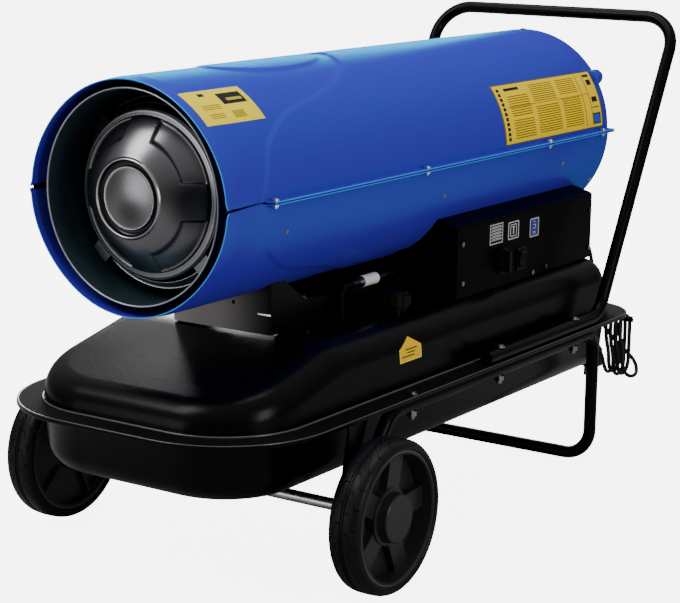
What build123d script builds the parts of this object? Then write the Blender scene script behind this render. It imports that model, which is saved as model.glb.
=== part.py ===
from build123d import *

import math
import os

# Forced air heater: a blue sheet-metal barrel over a pressed steel fuel tank, on a tube trolley.
# Millimetres. +X is the control box side, +Y runs from the outlet to the rear, +Z is up, and the
# floor is z = 0. The model is built with y = 0 at the outlet's rim and moved to its frame when saved.

# Driving dimensions of the whole heater
wheel_diameter = 200.0
tyre_width = 46.0
wheel_y = 180.6
wheel_outer_x = 287.5
tube_diameter = 19.0
tube_wall = 1.5
rail_x = 215.0
barrel_length = 1004.0
barrel_radius = 149.0
barrel_z = 497.0
flange_front_y = -47.3
handle_top_y = 1098.0
handle_top_z = 669.0
sheet = 1.5

# Barrel
rim_radius = 145.5
rim_taper = 22.0
pressing_depth = 1.8
shell_radius = barrel_radius - pressing_depth
shell_inner = shell_radius - sheet
field_inner = shell_inner + pressing_depth
rear_curl = 8.0
rear_curl_drop = 3.0
barrel_flange_start = 78.0
barrel_flange_width = 13.5
barrel_flange_corner = 10.0
flange_screw_ys = [93.0, 443.0, 793.0, 968.0]
flange_screw_x = shell_radius + 9.0
m5_hole_radius = 2.6
m5_radius = 2.5
side_screw_places = [(134.0, -16.5), (510.0, -17.5), (857.0, -15.0), (985.0, -32.0)]
crest_screw_place = (985.0, 90.0)
tapping_radius = 2.0
crest_pad_y = 272.0
crest_pad_half_width = 44.0
crest_pad_half_length = 120.0
rear_arch_angle = 33.0
rear_arch_radius = 12.0
rear_arch_length = 20.0

# Tank
tank_flange_z = 218.0
tank_half_width = 190.0
tank_flange_width = 34.0
tank_front_y = -13.0
tank_rear_y = 962.0
tank_front_corner = 114.0
tank_rear_corner = 42.0
tank_top_z = 303.0
tank_bottom_z = 118.0
tank_draft = 5.0
tank_nose_z = 249.0
tank_deck_y = 200.0
tank_crease_radius = 160.0
tank_shoulder = 38.0
tank_keel = 30.0
tank_sheet = 2.0
flange_sheet = 1.5

# Trolley
axle_z = wheel_diameter / 2
axle_radius = 8.0
frame_rail_z = tank_flange_z - flange_sheet - tube_diameter / 2
handle_rail_z = tank_flange_z + flange_sheet + tube_diameter / 2
rear_leg_y = 845.0
bolt_ys = [320.0, 553.0, 778.0]
handle_front_y = 515.0
handle_foot_y = 858.0
bolt_radius = 4.0
bolt_hole_radius = 4.15

# Support and control box
support_half_width = 80.0
support_front_y = 190.0
box_front_y = 522.0
box_rear_y = 932.0
box_outer_x = 160.0
box_bottom_z = 304.0
box_edge_z = 405.0
box_crown_x = 124.0
box_crown_z = 415.0
support_sheet = 2.0
knob_place = (648.0, 341.0)
switch_place = (706.0, 336.0)
panel_screw_places = [
    (535.0, 381.0), (537.0, 325.0), (743.0, 309.0), (784.0, 312.0), (925.0, 320.0), (925.0, 378.0)]

# Outlet, burner and fan
drum_radius = 133.5
drum_front_y = 10.0
drum_rear_y = 500.0
flame_ring_radius = 117.0
disc_radius = 106.0
disc_y = 45.0
fan_radius = 122.0
fan_y = 700.0
motor_radius = 55.0
motor_front_y = 745.0
motor_rear_y = 885.0
shaft_radius = 6.0

# Fuel line
line_diameter = 6.0
filter_x, filter_y, filter_z = 93.0, 398.0, 345.0
pickup_y = 334.0
line_cross_y, line_cross_z = 482.0, 324.0
line_rise_y = 640.0
nozzle_rear_y = 612.0

# Mains cord
cord_diameter = 6.2
hank_pitch = 7.8
hank_radius = 19.0
hank_y = 985.0
hank_top_z = 186.0
hank_outer_x = 200.0
hank_bottoms = [130.0, 128.0, 132.0, 129.5]
tail_x = 134.0

overall_length = handle_top_y + tube_diameter / 2 - flange_front_y
frame_shift = Pos(0, -(flange_front_y + overall_length / 2), 0)

os.makedirs("parts", exist_ok=True)
barrel = Pos(0, 0, barrel_z)


def save(name, *solids):
    """Writes one named piece, or a group of like pieces, in the heater's own frame."""
    moved = [frame_shift * solid for shape in solids for solid in shape.solids()]
    export_step(moved[0] if len(moved) == 1 else Compound(children=moved), f"parts/{name}.step")


def turned(points, arc=360):
    """Revolves a closed (radius, y) outline about the barrel's axis, from +X over the top."""
    face = make_face(Polyline(*points, close=True))
    return barrel * revolve(face, Axis((0, 0, 0), (0, -1, 0)), arc)


def along_x(points, x_from, x_to):
    """Extrudes a closed (y, z) outline from one x to another."""
    face = Plane.YZ.offset(x_from) * make_face(Polyline(*points, close=True))
    return extrude(face, amount=x_to - x_from)


def along_y(sketch, y_from, y_to):
    """Extrudes an (x, z) sketch rearwards from one y to another."""
    return extrude(Plane((0, y_from, 0), (1, 0, 0), (0, -1, 0)) * sketch, amount=y_from - y_to)


def block(x, y, z):
    """A box between two corners, each given as a (low, high) pair."""
    return Pos(sum(x) / 2, sum(y) / 2, sum(z) / 2) * Box(x[1] - x[0], y[1] - y[0], z[1] - z[0])


def rod_x(radius, x_from, x_to, y, z):
    return Pos((x_from + x_to) / 2, y, z) * Rot(0, 90, 0) * Cylinder(radius, x_to - x_from)


def rod_y(radius, y_from, y_to, x=0.0, z=barrel_z):
    return Pos(x, (y_from + y_to) / 2, z) * Rot(90, 0, 0) * Cylinder(radius, y_to - y_from)


def rod_z(radius, z_from, z_to, x, y):
    return Pos(x, y, (z_from + z_to) / 2) * Cylinder(radius, z_to - z_from)


def radial(angle):
    """A frame on the barrel's axis whose +X points outwards at this angle above the control box side."""
    return barrel * Rot(0, -angle, 0)


def both_sides(shape):
    return [shape, mirror(shape, Plane.YZ)]


def pipe(points, radii, wall=tube_wall, diameter=tube_diameter):
    """A bent tube, or a solid line or cord of eight-sided section when it has no wall."""
    path = FilletPolyline(*points, radius=radii)
    radius = diameter / 2
    section = Circle(radius) - Circle(radius - wall) if wall else RegularPolygon(radius, 8)
    start = Plane(origin=path @ 0, z_dir=path % 0)
    return sweep(start * section, path=path)


# ---- Barrel shells --------------------------------------------------------------------------------

def pressing_outline(setback=0.0):
    """Plan of the raised rear field, whose front edge sweeps back to a tongue over the crest."""
    edge = [(133, 107), (111, 173), (93, 298), (59, 381)]
    corner = (152, 72)
    points = [corner, *edge, (0, 418), *[(-x, y) for x, y in reversed(edge)], (-corner[0], corner[1])]
    front = Spline(*points)
    rest = Polyline(points[-1], (-160, barrel_length), (160, barrel_length), points[0])
    return Pos(0, setback) * make_face(front + rest)


def ring_under(plan_face, radius_from, radius_to, y_from, y_to):
    """The part of a half ring of the barrel that lies under a plan."""
    section = [(radius_from, y_from), (radius_to, y_from), (radius_to, y_to), (radius_from, y_to)]
    return turned(section, 180) & extrude(plan_face, amount=2 * barrel_z)


def half_shell(up):
    """One half of the barrel, with its drawn-in front rim, raised pressing and side flanges."""
    wall = turned([
        (rim_radius, 0), (shell_radius, rim_taper), (shell_radius, barrel_length - rear_curl),
        (shell_radius - rear_curl_drop, barrel_length),
        (shell_radius - rear_curl_drop - sheet, barrel_length),
        (shell_inner, barrel_length - rear_curl), (shell_inner, rim_taper), (rim_radius - sheet, 0)], 180)
    field_rear = barrel_length - rear_curl
    root = shell_inner + sheet / 2
    pad, pad_hollow = [
        Pos(0, crest_pad_y) * Ellipse(crest_pad_half_width - inset, crest_pad_half_length - inset)
        for inset in (0, sheet)]
    shell = wall + ring_under(pressing_outline(), root, barrel_radius, barrel_flange_start, field_rear)
    shell += ring_under(pad, root, barrel_radius, rim_taper, field_rear)
    flange_plan = make_face(Polyline(
        (root, barrel_flange_start), (shell_radius + 2, barrel_flange_start),
        (barrel_radius + barrel_flange_width, barrel_flange_start + barrel_flange_corner),
        (barrel_radius + barrel_flange_width, barrel_length), (root, field_rear), close=True))
    flange = Pos(0, 0, barrel_z) * extrude(flange_plan, amount=sheet)
    shell += both_sides(flange)
    hollow_rear = field_rear - sheet
    hollow = (shell_inner - sheet, field_inner, rim_taper, hollow_rear)
    shell -= [ring_under(pressing_outline(2 * sheet), *hollow), ring_under(pad_hollow, *hollow)]
    shell -= [rod_z(m5_hole_radius, barrel_z - 10, barrel_z + 10, side * flange_screw_x, y)
              for side in (1, -1) for y in flange_screw_ys]
    return shell if up else mirror(shell, Plane.XY.offset(barrel_z))


tapping_head_radius = 4.4
tapping_crown_radius = 3.2
tapping_head_height = 2.0
tapping_reach = 6.0


def tapping_screws(y, angle):
    """A self-tapping screw driven towards the barrel's axis, its domed head seated on the pressing."""
    seat = barrel_radius
    head = rod_x(tapping_head_radius, seat - 0.3, seat + tapping_head_height - 0.8, y, 0)
    head += rod_x(tapping_crown_radius, seat, seat + tapping_head_height, y, 0)
    head -= rod_y(seat, y - 10, y + 10, 0, 0)
    shank = rod_x(tapping_radius, shell_inner - tapping_reach, seat + 1, y, 0)
    return radial(angle) * (head + shank)


def tapping_hole(y, angle):
    """The hole such a screw cuts, a little deeper and higher than the screw."""
    return radial(angle) * rod_x(tapping_radius, shell_inner - tapping_reach - 2, barrel_radius + 4, y, 0)


def rear_arch(radius, front_y):
    """A round bar along the shell's rear edge, from which the half-round pressing there is made."""
    return radial(rear_arch_angle) * rod_y(radius, front_y, barrel_length, shell_radius, 0)


arch_front_y = barrel_length - rear_arch_length
arch_hollow = rear_arch(rear_arch_radius - sheet, arch_front_y + sheet)
arch = rear_arch(rear_arch_radius, arch_front_y) - arch_hollow
arch -= rod_y(shell_radius - rear_curl_drop - sheet, arch_front_y - 1, barrel_length + 1)
screw_sites = [(y, a) for y, angle in side_screw_places for a in (angle, 180 - angle)]
upper_shell = half_shell(True) - arch_hollow + arch - tapping_hole(*crest_screw_place)
lower_shell = half_shell(False) - [tapping_hole(*site) for site in screw_sites]
lower_shell -= rod_z(line_diameter / 2 + 0.5, 330, 370, 0, line_rise_y)
save("upper_shell", upper_shell)
save("lower_shell", lower_shell)
save("shell_side_screws", *[tapping_screws(*site) for site in [*screw_sites, crest_screw_place]])


m5_head_radius = 4.8
m5_head_height = 2.2
m5_nut_radius = 4.6
m5_nut_height = 4.0


def flange_screw(x, y):
    """A pan head screw through both flanges, with its hexagon nut below."""
    z_top, z_low = barrel_z + sheet, barrel_z - sheet
    crown_z = z_top + m5_head_height
    head = rod_z(m5_head_radius, z_top, crown_z, x, y) + rod_z(3.2, crown_z, crown_z + 1, x, y)
    shank = rod_z(m5_radius, z_low - m5_nut_height - 2, z_top + 1, x, y)
    nut = Pos(x, y, z_low) * extrude(RegularPolygon(m5_nut_radius, 6), amount=-m5_nut_height)
    return head + shank + nut


save("shell_flange_screws",
     *[flange_screw(side * flange_screw_x, y) for side in (1, -1) for y in flange_screw_ys])

# ---- Combustion chamber and outlet ----------------------------------------------------------------

burner_radius = 60.0
drum_wall = 1.5
bead = 2.0
drum_cone = 30.0
cone_inside = drum_cone + 0.7
combustion_chamber = turned([
    (drum_radius, drum_front_y), (drum_radius, drum_rear_y - drum_cone),
    (drum_radius - drum_cone, drum_rear_y), (burner_radius, drum_rear_y),
    (burner_radius, drum_rear_y - drum_wall), (drum_radius - cone_inside, drum_rear_y - drum_wall),
    (drum_radius - drum_wall, drum_rear_y - cone_inside), (drum_radius - drum_wall, drum_front_y)])
combustion_chamber += turned([
    (drum_radius - bead, drum_front_y), (drum_radius - bead / 2, drum_front_y - bead),
    (drum_radius + bead / 2, drum_front_y - bead), (drum_radius + bead, drum_front_y),
    (drum_radius + bead / 2, drum_front_y + bead), (drum_radius - bead / 2, drum_front_y + bead)])
save("combustion_chamber", combustion_chamber)

ring_front_y, ring_rear_y = 57.0, 440.0
ring_lip = 6.0
flame_ring = turned([
    (flame_ring_radius, ring_front_y + 9), (flame_ring_radius - ring_lip, ring_front_y + 3),
    (flame_ring_radius - ring_lip, ring_front_y), (flame_ring_radius + drum_wall, ring_front_y + 7),
    (flame_ring_radius + drum_wall, ring_rear_y), (flame_ring_radius, ring_rear_y)])
spacer_size = 16.0
spacer_span = (-spacer_size / 2, spacer_size / 2)
for spacer_y in (150, 400):
    spacer = block((flame_ring_radius + 0.5, drum_radius), (spacer_y, spacer_y + spacer_size), spacer_span)
    flame_ring += [radial(angle) * spacer & rod_y(drum_radius - drum_wall, 100, 450)
                   for angle in (0, 90, 180, 270)]
save("flame_ring", flame_ring)

chamber_brackets = []
for bracket_y, bracket_angle in [site for site in screw_sites if site[0] < drum_rear_y + 20]:
    clip_y = min(bracket_y, drum_rear_y - 60)
    strap = block((drum_radius, field_inner), (clip_y - 8, clip_y + 8), (-2, 2))
    foot = block((field_inner - 3, field_inner + 2), (clip_y - 8, bracket_y + 12), (-9, 9))
    clip = radial(bracket_angle) * (strap + foot)
    ring = rod_y(field_inner, 0, barrel_length) - rod_y(drum_radius, 0, barrel_length)
    chamber_brackets.append((clip & ring) - tapping_hole(bracket_y, bracket_angle))
save("chamber_brackets", *chamber_brackets)

step_outer, step_inner = 47.0, 38.0
disc_front = [
    (disc_radius, disc_y), (disc_radius - 7, disc_y - 1), (disc_radius - 9, disc_y - 4),
    (85, disc_y - 15), (73, disc_y - 25), (60, disc_y - 34.5), (step_outer + 3, disc_y - 40),
    (step_outer + 1, disc_y - 42), (step_outer - 1, disc_y - 41.5), (step_inner + 2, disc_y - 36.5),
    (step_inner, disc_y - 38), (30, disc_y - 40.5), (18, disc_y - 42), (0, disc_y - 43)]
disc_sheet, petal_depth = 4.0, 2.2
deflector_disc = turned([*disc_front, *[(r, y + disc_sheet) for r, y in reversed(disc_front)]])
front_skin = turned([
    *[(r, y - 1) for r, y in disc_front], *[(r, y + petal_depth) for r, y in reversed(disc_front)]])
cross_arm = 46.0
petals = Circle(disc_radius - 6) - Circle(73) - Rectangle(cross_arm, 300) - Rectangle(300, cross_arm)
deflector_disc -= front_skin & along_y(Pos(0, barrel_z) * petals, 0, 80)
save("deflector_disc", deflector_disc)

tab_back = disc_y + disc_sheet
tab_sheet = 2.0
ring_outer = flame_ring_radius + drum_wall
tab_ring = rod_y(ring_outer + tab_sheet, 0, 100, 0, 0)
disc_tabs = []
for tab_angle in (45, 135, 225, 315):
    plate = block((disc_radius - 7, drum_radius), (tab_back, tab_back + tab_sheet), (-13, 13))
    leg = block((disc_radius, drum_radius), (tab_back, tab_back + 32), (-13, 13))
    leg -= rod_y(ring_outer, 0, 100, 0, 0)
    disc_tabs.append(radial(tab_angle) * ((plate + leg) & tab_ring))
save("disc_tabs", *disc_tabs)

# ---- Burner ---------------------------------------------------------------------------------------

burner_rear_y = 596.0
nozzle_radius = 9.0
burner_head = turned([
    (burner_radius, 470), (burner_radius, burner_rear_y),
    (nozzle_radius, burner_rear_y), (nozzle_radius, burner_rear_y - 2),
    (burner_radius - 2, burner_rear_y - 2), (burner_radius - 2, 486), (40, 472), (40, 470)])
electrode_xs = (-16.0, 16.0)
electrode_z = barrel_z + 18
eye_place = (0.0, barrel_z - 32)
burner_head -= [rod_y(4, 580, 610, x, electrode_z) for x in electrode_xs]
burner_head -= rod_y(9, 580, 610, *eye_place)
air_hole_radius, air_hole_circle = 6.0, 44.0
air_hole = Pos(air_hole_circle, 0, 0) * rod_y(air_hole_radius, 580, 610, 0, 0)
burner_head -= [radial(step * 45 + 22.5) * air_hole for step in range(8)]
save("burner_head", burner_head)

fuel_nozzle = turned([
    (0, 478), (3, 478), (8, 486), (8, 500), (6, 500), (6, 560),
    (nozzle_radius, 560), (nozzle_radius, nozzle_rear_y), (0, nozzle_rear_y)])
save("fuel_nozzle", fuel_nozzle)
save("ignition_electrodes", *[
    rod_y(4, 520, 604, x, electrode_z) + rod_y(1.4, 484, 524, x, electrode_z) for x in electrode_xs])
save("photocell", rod_y(9, burner_rear_y - 14, burner_rear_y + 4, *eye_place)
     + rod_y(12, burner_rear_y, burner_rear_y + 14, *eye_place))

# ---- Motor, fan and air pump ----------------------------------------------------------------------

motor = turned([
    (0, motor_front_y), (26, motor_front_y), (motor_radius - 8, motor_front_y + 8),
    (motor_radius - 8, motor_front_y + 24), (motor_radius, motor_front_y + 26),
    (motor_radius, motor_rear_y - 26), (motor_radius - 8, motor_rear_y - 24),
    (motor_radius - 8, motor_rear_y), (0, motor_rear_y)])
bore_clearance = 0.05
motor -= rod_y(shaft_radius + bore_clearance, motor_front_y - 1, motor_front_y + 25)
save("motor", motor)
shaft_front_y = fan_y - 14
save("motor_shaft", rod_y(shaft_radius, shaft_front_y, motor_front_y + 24))

fan_hub_radius = 34.0
fan = turned([
    (shaft_radius, fan_y - 12), (20, fan_y - 12), (fan_hub_radius, fan_y - 4),
    (fan_hub_radius, fan_y + 20), (shaft_radius, fan_y + 20)])
blade_pitch = 27.0
blade_count = 5
blade_plan = make_face(
    Polyline((26, -14), (96, -36), (fan_radius - 12, -30))
    + ThreePointArc((fan_radius - 12, -30), (fan_radius - 4, 2), (fan_radius - 20, 32))
    + Polyline((fan_radius - 20, 32), (70, 27), (26, 12), (26, -14)))
for blade in range(blade_count):
    blade_solid = Rot(blade_pitch, 0, 0) * extrude(blade_plan, amount=1, both=True)
    fan += radial(blade * 360 / blade_count + 20) * Pos(0, fan_y + 4, 0) * blade_solid
fan &= rod_y(fan_radius, fan_y - 40, fan_y + 40) - rod_y(shaft_radius, fan_y - 40, fan_y + 40)
save("fan", fan)

bracket_y = motor_rear_y
bracket_sheet = 3.0
arm_span = (-14.0, 14.0)
foot_depth = 22.0
motor_bracket = along_y(Pos(0, barrel_z) * Circle(motor_radius + 7), bracket_y, bracket_y + bracket_sheet)
shell_bore = rod_y(field_inner, 800, 950, 0, 0)
foot_ring = shell_bore - rod_y(field_inner - bracket_sheet, 800, 950, 0, 0)
arm = block((40, field_inner), (bracket_y, bracket_y + bracket_sheet), arm_span) & shell_bore
foot = block((field_inner - 12, field_inner), (bracket_y, bracket_y + foot_depth), arm_span) & foot_ring
motor_bracket += [radial(arm_angle) * (arm + foot) for arm_angle in (30, 150, 270)]
save("motor_bracket", motor_bracket)

pump_rear_y = bracket_y + 38
pump_radius = 46.0
air_pump = rod_y(pump_radius, bracket_y + bracket_sheet, pump_rear_y)
save("air_pump", air_pump)
cover_radius, cover_depth, cover_chamfer = 49.0, 22.0, 6.0
cover_rear_y = pump_rear_y + cover_depth
pump_cover = turned([
    (0, pump_rear_y), (cover_radius, pump_rear_y), (cover_radius, cover_rear_y - cover_chamfer),
    (cover_radius - cover_chamfer - 1, cover_rear_y), (0, cover_rear_y)])
pump_cover += rod_y(5, cover_rear_y - 2, cover_rear_y + 12, 26, barrel_z - 24)
cover_screw = rod_y(3, cover_rear_y - cover_chamfer, cover_rear_y + 3, 44, 0)
pump_cover += [radial(step * 60) * cover_screw for step in range(6)]
save("pump_cover", pump_cover)

guard_y = 981.0
guard_wire = 3.0
guard_ring_pitch = 24.0
guard_rear_y = guard_y + guard_wire
lug_sheet = 2.5
rings = Circle(field_inner) - Circle(field_inner - 5)
for ring_radius in (guard_ring_pitch * step for step in range(1, 6)):
    rings += Circle(ring_radius + guard_wire / 2) - Circle(ring_radius - guard_wire / 2)
guard = along_y(Pos(0, barrel_z) * rings, guard_y, guard_rear_y)
spoke = Pos(0, (guard_y + guard_rear_y) / 2, 0) * Box(2 * field_inner - 4, guard_wire, guard_wire)
guard += [radial(spoke_angle) * spoke for spoke_angle in (30, 90, 150)]
lug_sites = [crest_screw_place, *[site for site in screw_sites if site[0] > guard_y]]
lug_ring = rod_y(field_inner, 950, 1000, 0, 0) - rod_y(field_inner - lug_sheet, 950, 1000, 0, 0)
for lug_y, lug_angle in lug_sites:
    lug = block((field_inner - 6, field_inner), (guard_y, lug_y + 7), (-8, 8)) & lug_ring
    guard += radial(lug_angle) * lug
guard -= [tapping_hole(*site) for site in lug_sites]
save("rear_guard", guard)

# ---- Tank -----------------------------------------------------------------------------------------

def plan(margin):
    """The tank's plan, grown by a margin: big round corners in front, smaller ones at the rear."""
    width, depth = tank_half_width + margin, tank_rear_y - tank_front_y + 2 * margin
    outline = Pos(0, (tank_front_y + tank_rear_y) / 2) * Rectangle(2 * width, depth)
    corners = outline.vertices().sort_by(Axis.Y)
    outline = fillet(corners[:2], tank_front_corner + margin)
    return fillet(outline.vertices().sort_by(Axis.Y)[-2:], tank_rear_corner + margin)


def side_profile(inset):
    """The upper half seen from the side: a low nose, a slope and a level deck, softly joined."""
    z = tank_top_z - inset
    front_y, rear_y, foot_z = tank_front_y - 20, tank_rear_y + 20, tank_flange_z - 1
    outline = make_face(Polyline(
        (front_y, foot_z), (front_y, tank_nose_z - inset), (tank_deck_y, z), (rear_y, z), (rear_y, foot_z),
        close=True))
    crease = outline.vertices().sort_by_distance((tank_deck_y, z))[0]
    return fillet(crease, tank_crease_radius)


def upper_form(inset):
    """The upper half as a solid: drafted plan, cut to the side profile, with soft shoulders."""
    height = tank_top_z - tank_flange_z
    wall = extrude(Pos(0, 0, tank_flange_z) * plan(-inset), amount=height, taper=tank_draft)
    form = wall & extrude(Plane.YZ.offset(-250) * side_profile(inset), amount=500)
    top_edges = [edge for face in form.faces() if face.normal_at().Z > 0.8 for edge in face.edges()]
    rim = [edge for edge in top_edges
           if not (abs(edge.center().X) < 1 and tank_front_y + 60 < edge.center().Y < tank_rear_y - 60)]
    return fillet(rim, tank_shoulder - inset)


def lower_form(inset):
    """The lower half: a drafted tray with a soft bottom edge."""
    depth = tank_flange_z - tank_bottom_z - inset
    base = extrude(Pos(0, 0, tank_flange_z) * plan(-inset), amount=-depth, taper=tank_draft)
    bottom = base.faces().sort_by(Axis.Z)[0]
    return fillet(bottom.edges(), tank_keel - inset)


def flange_plate(z_from, z_to):
    return extrude(Pos(0, 0, z_from) * plan(tank_flange_width), amount=z_to - z_from)


neck_place = (128.0, 412.0)
neck_radius = 17.0
gauge_place = (97.0, 240.0)
gauge_radius = 15.5
drain_place = (-60.0, 700.0)
bolt_holes = [rod_z(bolt_hole_radius, 150, 300, side * rail_x, y) for side in (1, -1) for y in bolt_ys]

tank_upper = upper_form(0) - upper_form(tank_sheet)
tank_upper += flange_plate(tank_flange_z, tank_flange_z + flange_sheet) - extrude(
    Pos(0, 0, tank_flange_z - 1) * plan(-tank_sheet), amount=5)
groove = Pos(0, 326, tank_top_z + 2) * Rot(45, 0, 0) * Box(500, 9, 9)
tank_upper -= groove - block((-150, 150), (300, 350), (tank_top_z - 10, tank_top_z + 20))
tank_upper -= rod_z(neck_radius, 250, 330, *neck_place)
tank_upper -= rod_z(gauge_radius - 5, 290, 330, *gauge_place)
tank_upper -= rod_z(line_diameter / 2 + 0.2, 290, 330, filter_x, pickup_y)
tank_upper -= bolt_holes
save("tank_upper", tank_upper)

lip_height = 4.2
tank_lower = lower_form(0) - lower_form(tank_sheet)
tank_lower += flange_plate(tank_flange_z - flange_sheet, tank_flange_z) - extrude(
    Pos(0, 0, tank_flange_z + 1) * plan(-tank_sheet), amount=-5)
lip_plan = plan(tank_flange_width) - plan(tank_flange_width - 2)
tank_lower += extrude(Pos(0, 0, tank_flange_z - lip_height) * lip_plan, amount=lip_height)
tank_lower -= rod_z(6, 100, 140, *drain_place)
tank_lower -= bolt_holes
save("tank_lower", tank_lower)

drain_radius, drain_head_radius = 6.0, 9.0
drain_plug = rod_z(drain_radius, tank_bottom_z, tank_bottom_z + 8, *drain_place)
drain_plug += Pos(*drain_place, tank_bottom_z) * extrude(RegularPolygon(drain_head_radius, 6), amount=-5)
save("drain_plug", drain_plug)

neck_top_z = 314.0
neck_foot_z = 270.0
neck_wall = 2.0
neck_lip = 3.0
filler_neck = rod_z(neck_radius, neck_foot_z, neck_top_z, *neck_place)
filler_neck += rod_z(neck_radius + neck_lip, neck_top_z - neck_lip, neck_top_z, *neck_place)
filler_neck -= rod_z(neck_radius - neck_wall, neck_foot_z - 1, neck_top_z + 1, *neck_place)
save("filler_neck", filler_neck)

cap_radius = 22.0
cap_gap = 0.3
cap_height = 18.0
cap_step = 4.0
flute_radius = 2.2
flute_count = 12
flute = rod_z(flute_radius, neck_top_z - 10, neck_top_z + 30, cap_radius + 0.9, 0)
fuel_cap = rod_z(cap_radius, neck_top_z + cap_gap, neck_top_z + cap_height - cap_step, *neck_place)
fuel_cap += rod_z(cap_radius - cap_step, neck_top_z + 13, neck_top_z + cap_height, *neck_place)
fuel_cap -= [Pos(*neck_place) * Rot(0, 0, step * 360 / flute_count) * flute for step in range(flute_count)]
fuel_cap += rod_z(neck_radius - 4, neck_top_z - 10, neck_top_z + 2, *neck_place)
save("fuel_cap", fuel_cap)

gauge_height = 5.0
fuel_gauge = rod_z(gauge_radius, tank_top_z, tank_top_z + gauge_height, *gauge_place)
fuel_gauge -= rod_z(gauge_radius - 3, tank_top_z + gauge_height - 1, tank_top_z + 10, *gauge_place)
fuel_gauge += rod_z(gauge_radius - 5, tank_top_z - 12, tank_top_z + 1, *gauge_place)
save("fuel_gauge", fuel_gauge)

# ---- Trolley --------------------------------------------------------------------------------------

axle_end_x = 274.0
collar_x = 239.5
axle = rod_x(axle_radius, -axle_end_x, axle_end_x, wheel_y, axle_z)
axle += both_sides(rod_x(12, collar_x, collar_x + 3, wheel_y, axle_z))
pin_x = 268.0
pin_radius = 1.6
axle -= [rod_z(pin_radius, 80, 120, side * pin_x, wheel_y) for side in (1, -1)]
save("axle", axle)

frame_bend_y = 268.0
half_frame = [
    (rail_x, wheel_y + 4, axle_z + 5), (rail_x, frame_bend_y, frame_rail_z),
    (rail_x, rear_leg_y, frame_rail_z), (rail_x, rear_leg_y, tube_diameter / 2)]
frame_points = [*half_frame, *[(-x, y, z) for x, y, z in reversed(half_frame)]]
frame_tube = pipe(frame_points, [34, 30, 42, 42, 30, 34])
frame_tube -= rod_x(axle_radius, -260, 260, wheel_y, axle_z)
frame_tube -= bolt_holes
save("frame_tube", frame_tube)

half_handle = [
    (rail_x, handle_front_y, handle_rail_z), (rail_x, handle_foot_y, handle_rail_z),
    (rail_x, handle_top_y, handle_top_z)]
handle_points = [*half_handle, *[(-x, y, z) for x, y, z in reversed(half_handle)]]
handle_tube = pipe(handle_points, [45, 55, 55, 45])
handle_tube -= bolt_holes
save("handle_tube", handle_tube)


rail_bottom_z = frame_rail_z - tube_diameter / 2
bolt_head_radius = 7.5
bolt_head_height = 4.2
nut_height = 6.5


def rail_bolt(x, y):
    """A domed bolt through the rails and both tank flanges. The front one holds no handle tube."""
    seat = tank_flange_z + flange_sheet + (tube_diameter if y > handle_front_y else 0)
    brim_z = seat + bolt_head_height - 1.8
    bolt = rod_z(bolt_head_radius, seat, brim_z, x, y)
    bolt += rod_z(bolt_head_radius - 2.5, brim_z, seat + bolt_head_height, x, y)
    return bolt + rod_z(bolt_radius, rail_bottom_z - 11, seat + 1, x, y)


def rail_nut(x, y):
    """The hexagon nut under the frame tube."""
    nut = Pos(x, y, rail_bottom_z) * extrude(RegularPolygon(bolt_head_radius, 6), amount=-nut_height)
    return nut - rod_z(bolt_radius, rail_bottom_z - 12, rail_bottom_z + 1, x, y)


bolt_sites = [(side * rail_x, y) for side in (1, -1) for y in bolt_ys]
save("rail_bolts", *[rail_bolt(*site) for site in bolt_sites])
save("rail_nuts", *[rail_nut(*site) for site in bolt_sites])

strut_x = 203.0
strut_sheet = 3.0
strut_front_y, strut_rear_y = 190.0, 232.0
strut_head_z = tank_flange_z - flange_sheet
strut = along_x([
    (wheel_y - 11, axle_z + 2), (wheel_y + 11, axle_z + 2), (strut_rear_y, strut_head_z - 14.5),
    (strut_rear_y, strut_head_z), (strut_front_y, strut_head_z), (strut_front_y, strut_head_z - 20.5)],
    strut_x - strut_sheet, strut_x)
strut += block((strut_x - 10, strut_x), (strut_front_y, strut_rear_y),
               (strut_head_z - strut_sheet, strut_head_z))
strut -= rod_x(axle_radius, 150, 250, wheel_y, axle_z)
save("axle_struts", *both_sides(strut))

# ---- Wheels ---------------------------------------------------------------------------------------

wheel_inner_x = wheel_outer_x - tyre_width
tyre_bead = 86.0


def about_axle(points):
    """Revolves a closed (x, radius) outline about the axle."""
    face = Pos(0, wheel_y, axle_z) * (Plane.XZ * make_face(Polyline(*points, close=True)))
    return revolve(face, Axis((0, wheel_y, axle_z), (1, 0, 0)))


tyre_radius = wheel_diameter / 2
tread_groove = tyre_radius - 1.6
tyre_section = [
    (3, tyre_bead), (0, tyre_bead + 4), (1, 94), (5, 98), (12, tyre_radius - 0.4), (20, tyre_radius),
    (20.6, tread_groove), (22, tread_groove), (22.4, tyre_radius), (23.6, tyre_radius),
    (24, tread_groove), (25.4, tread_groove), (26, tyre_radius), (34, tyre_radius - 0.4),
    (41, 98), (45, 94), (46, tyre_bead + 4), (43, tyre_bead)]
tyre = about_axle([(wheel_inner_x + across, radius) for across, radius in tyre_section])

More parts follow.
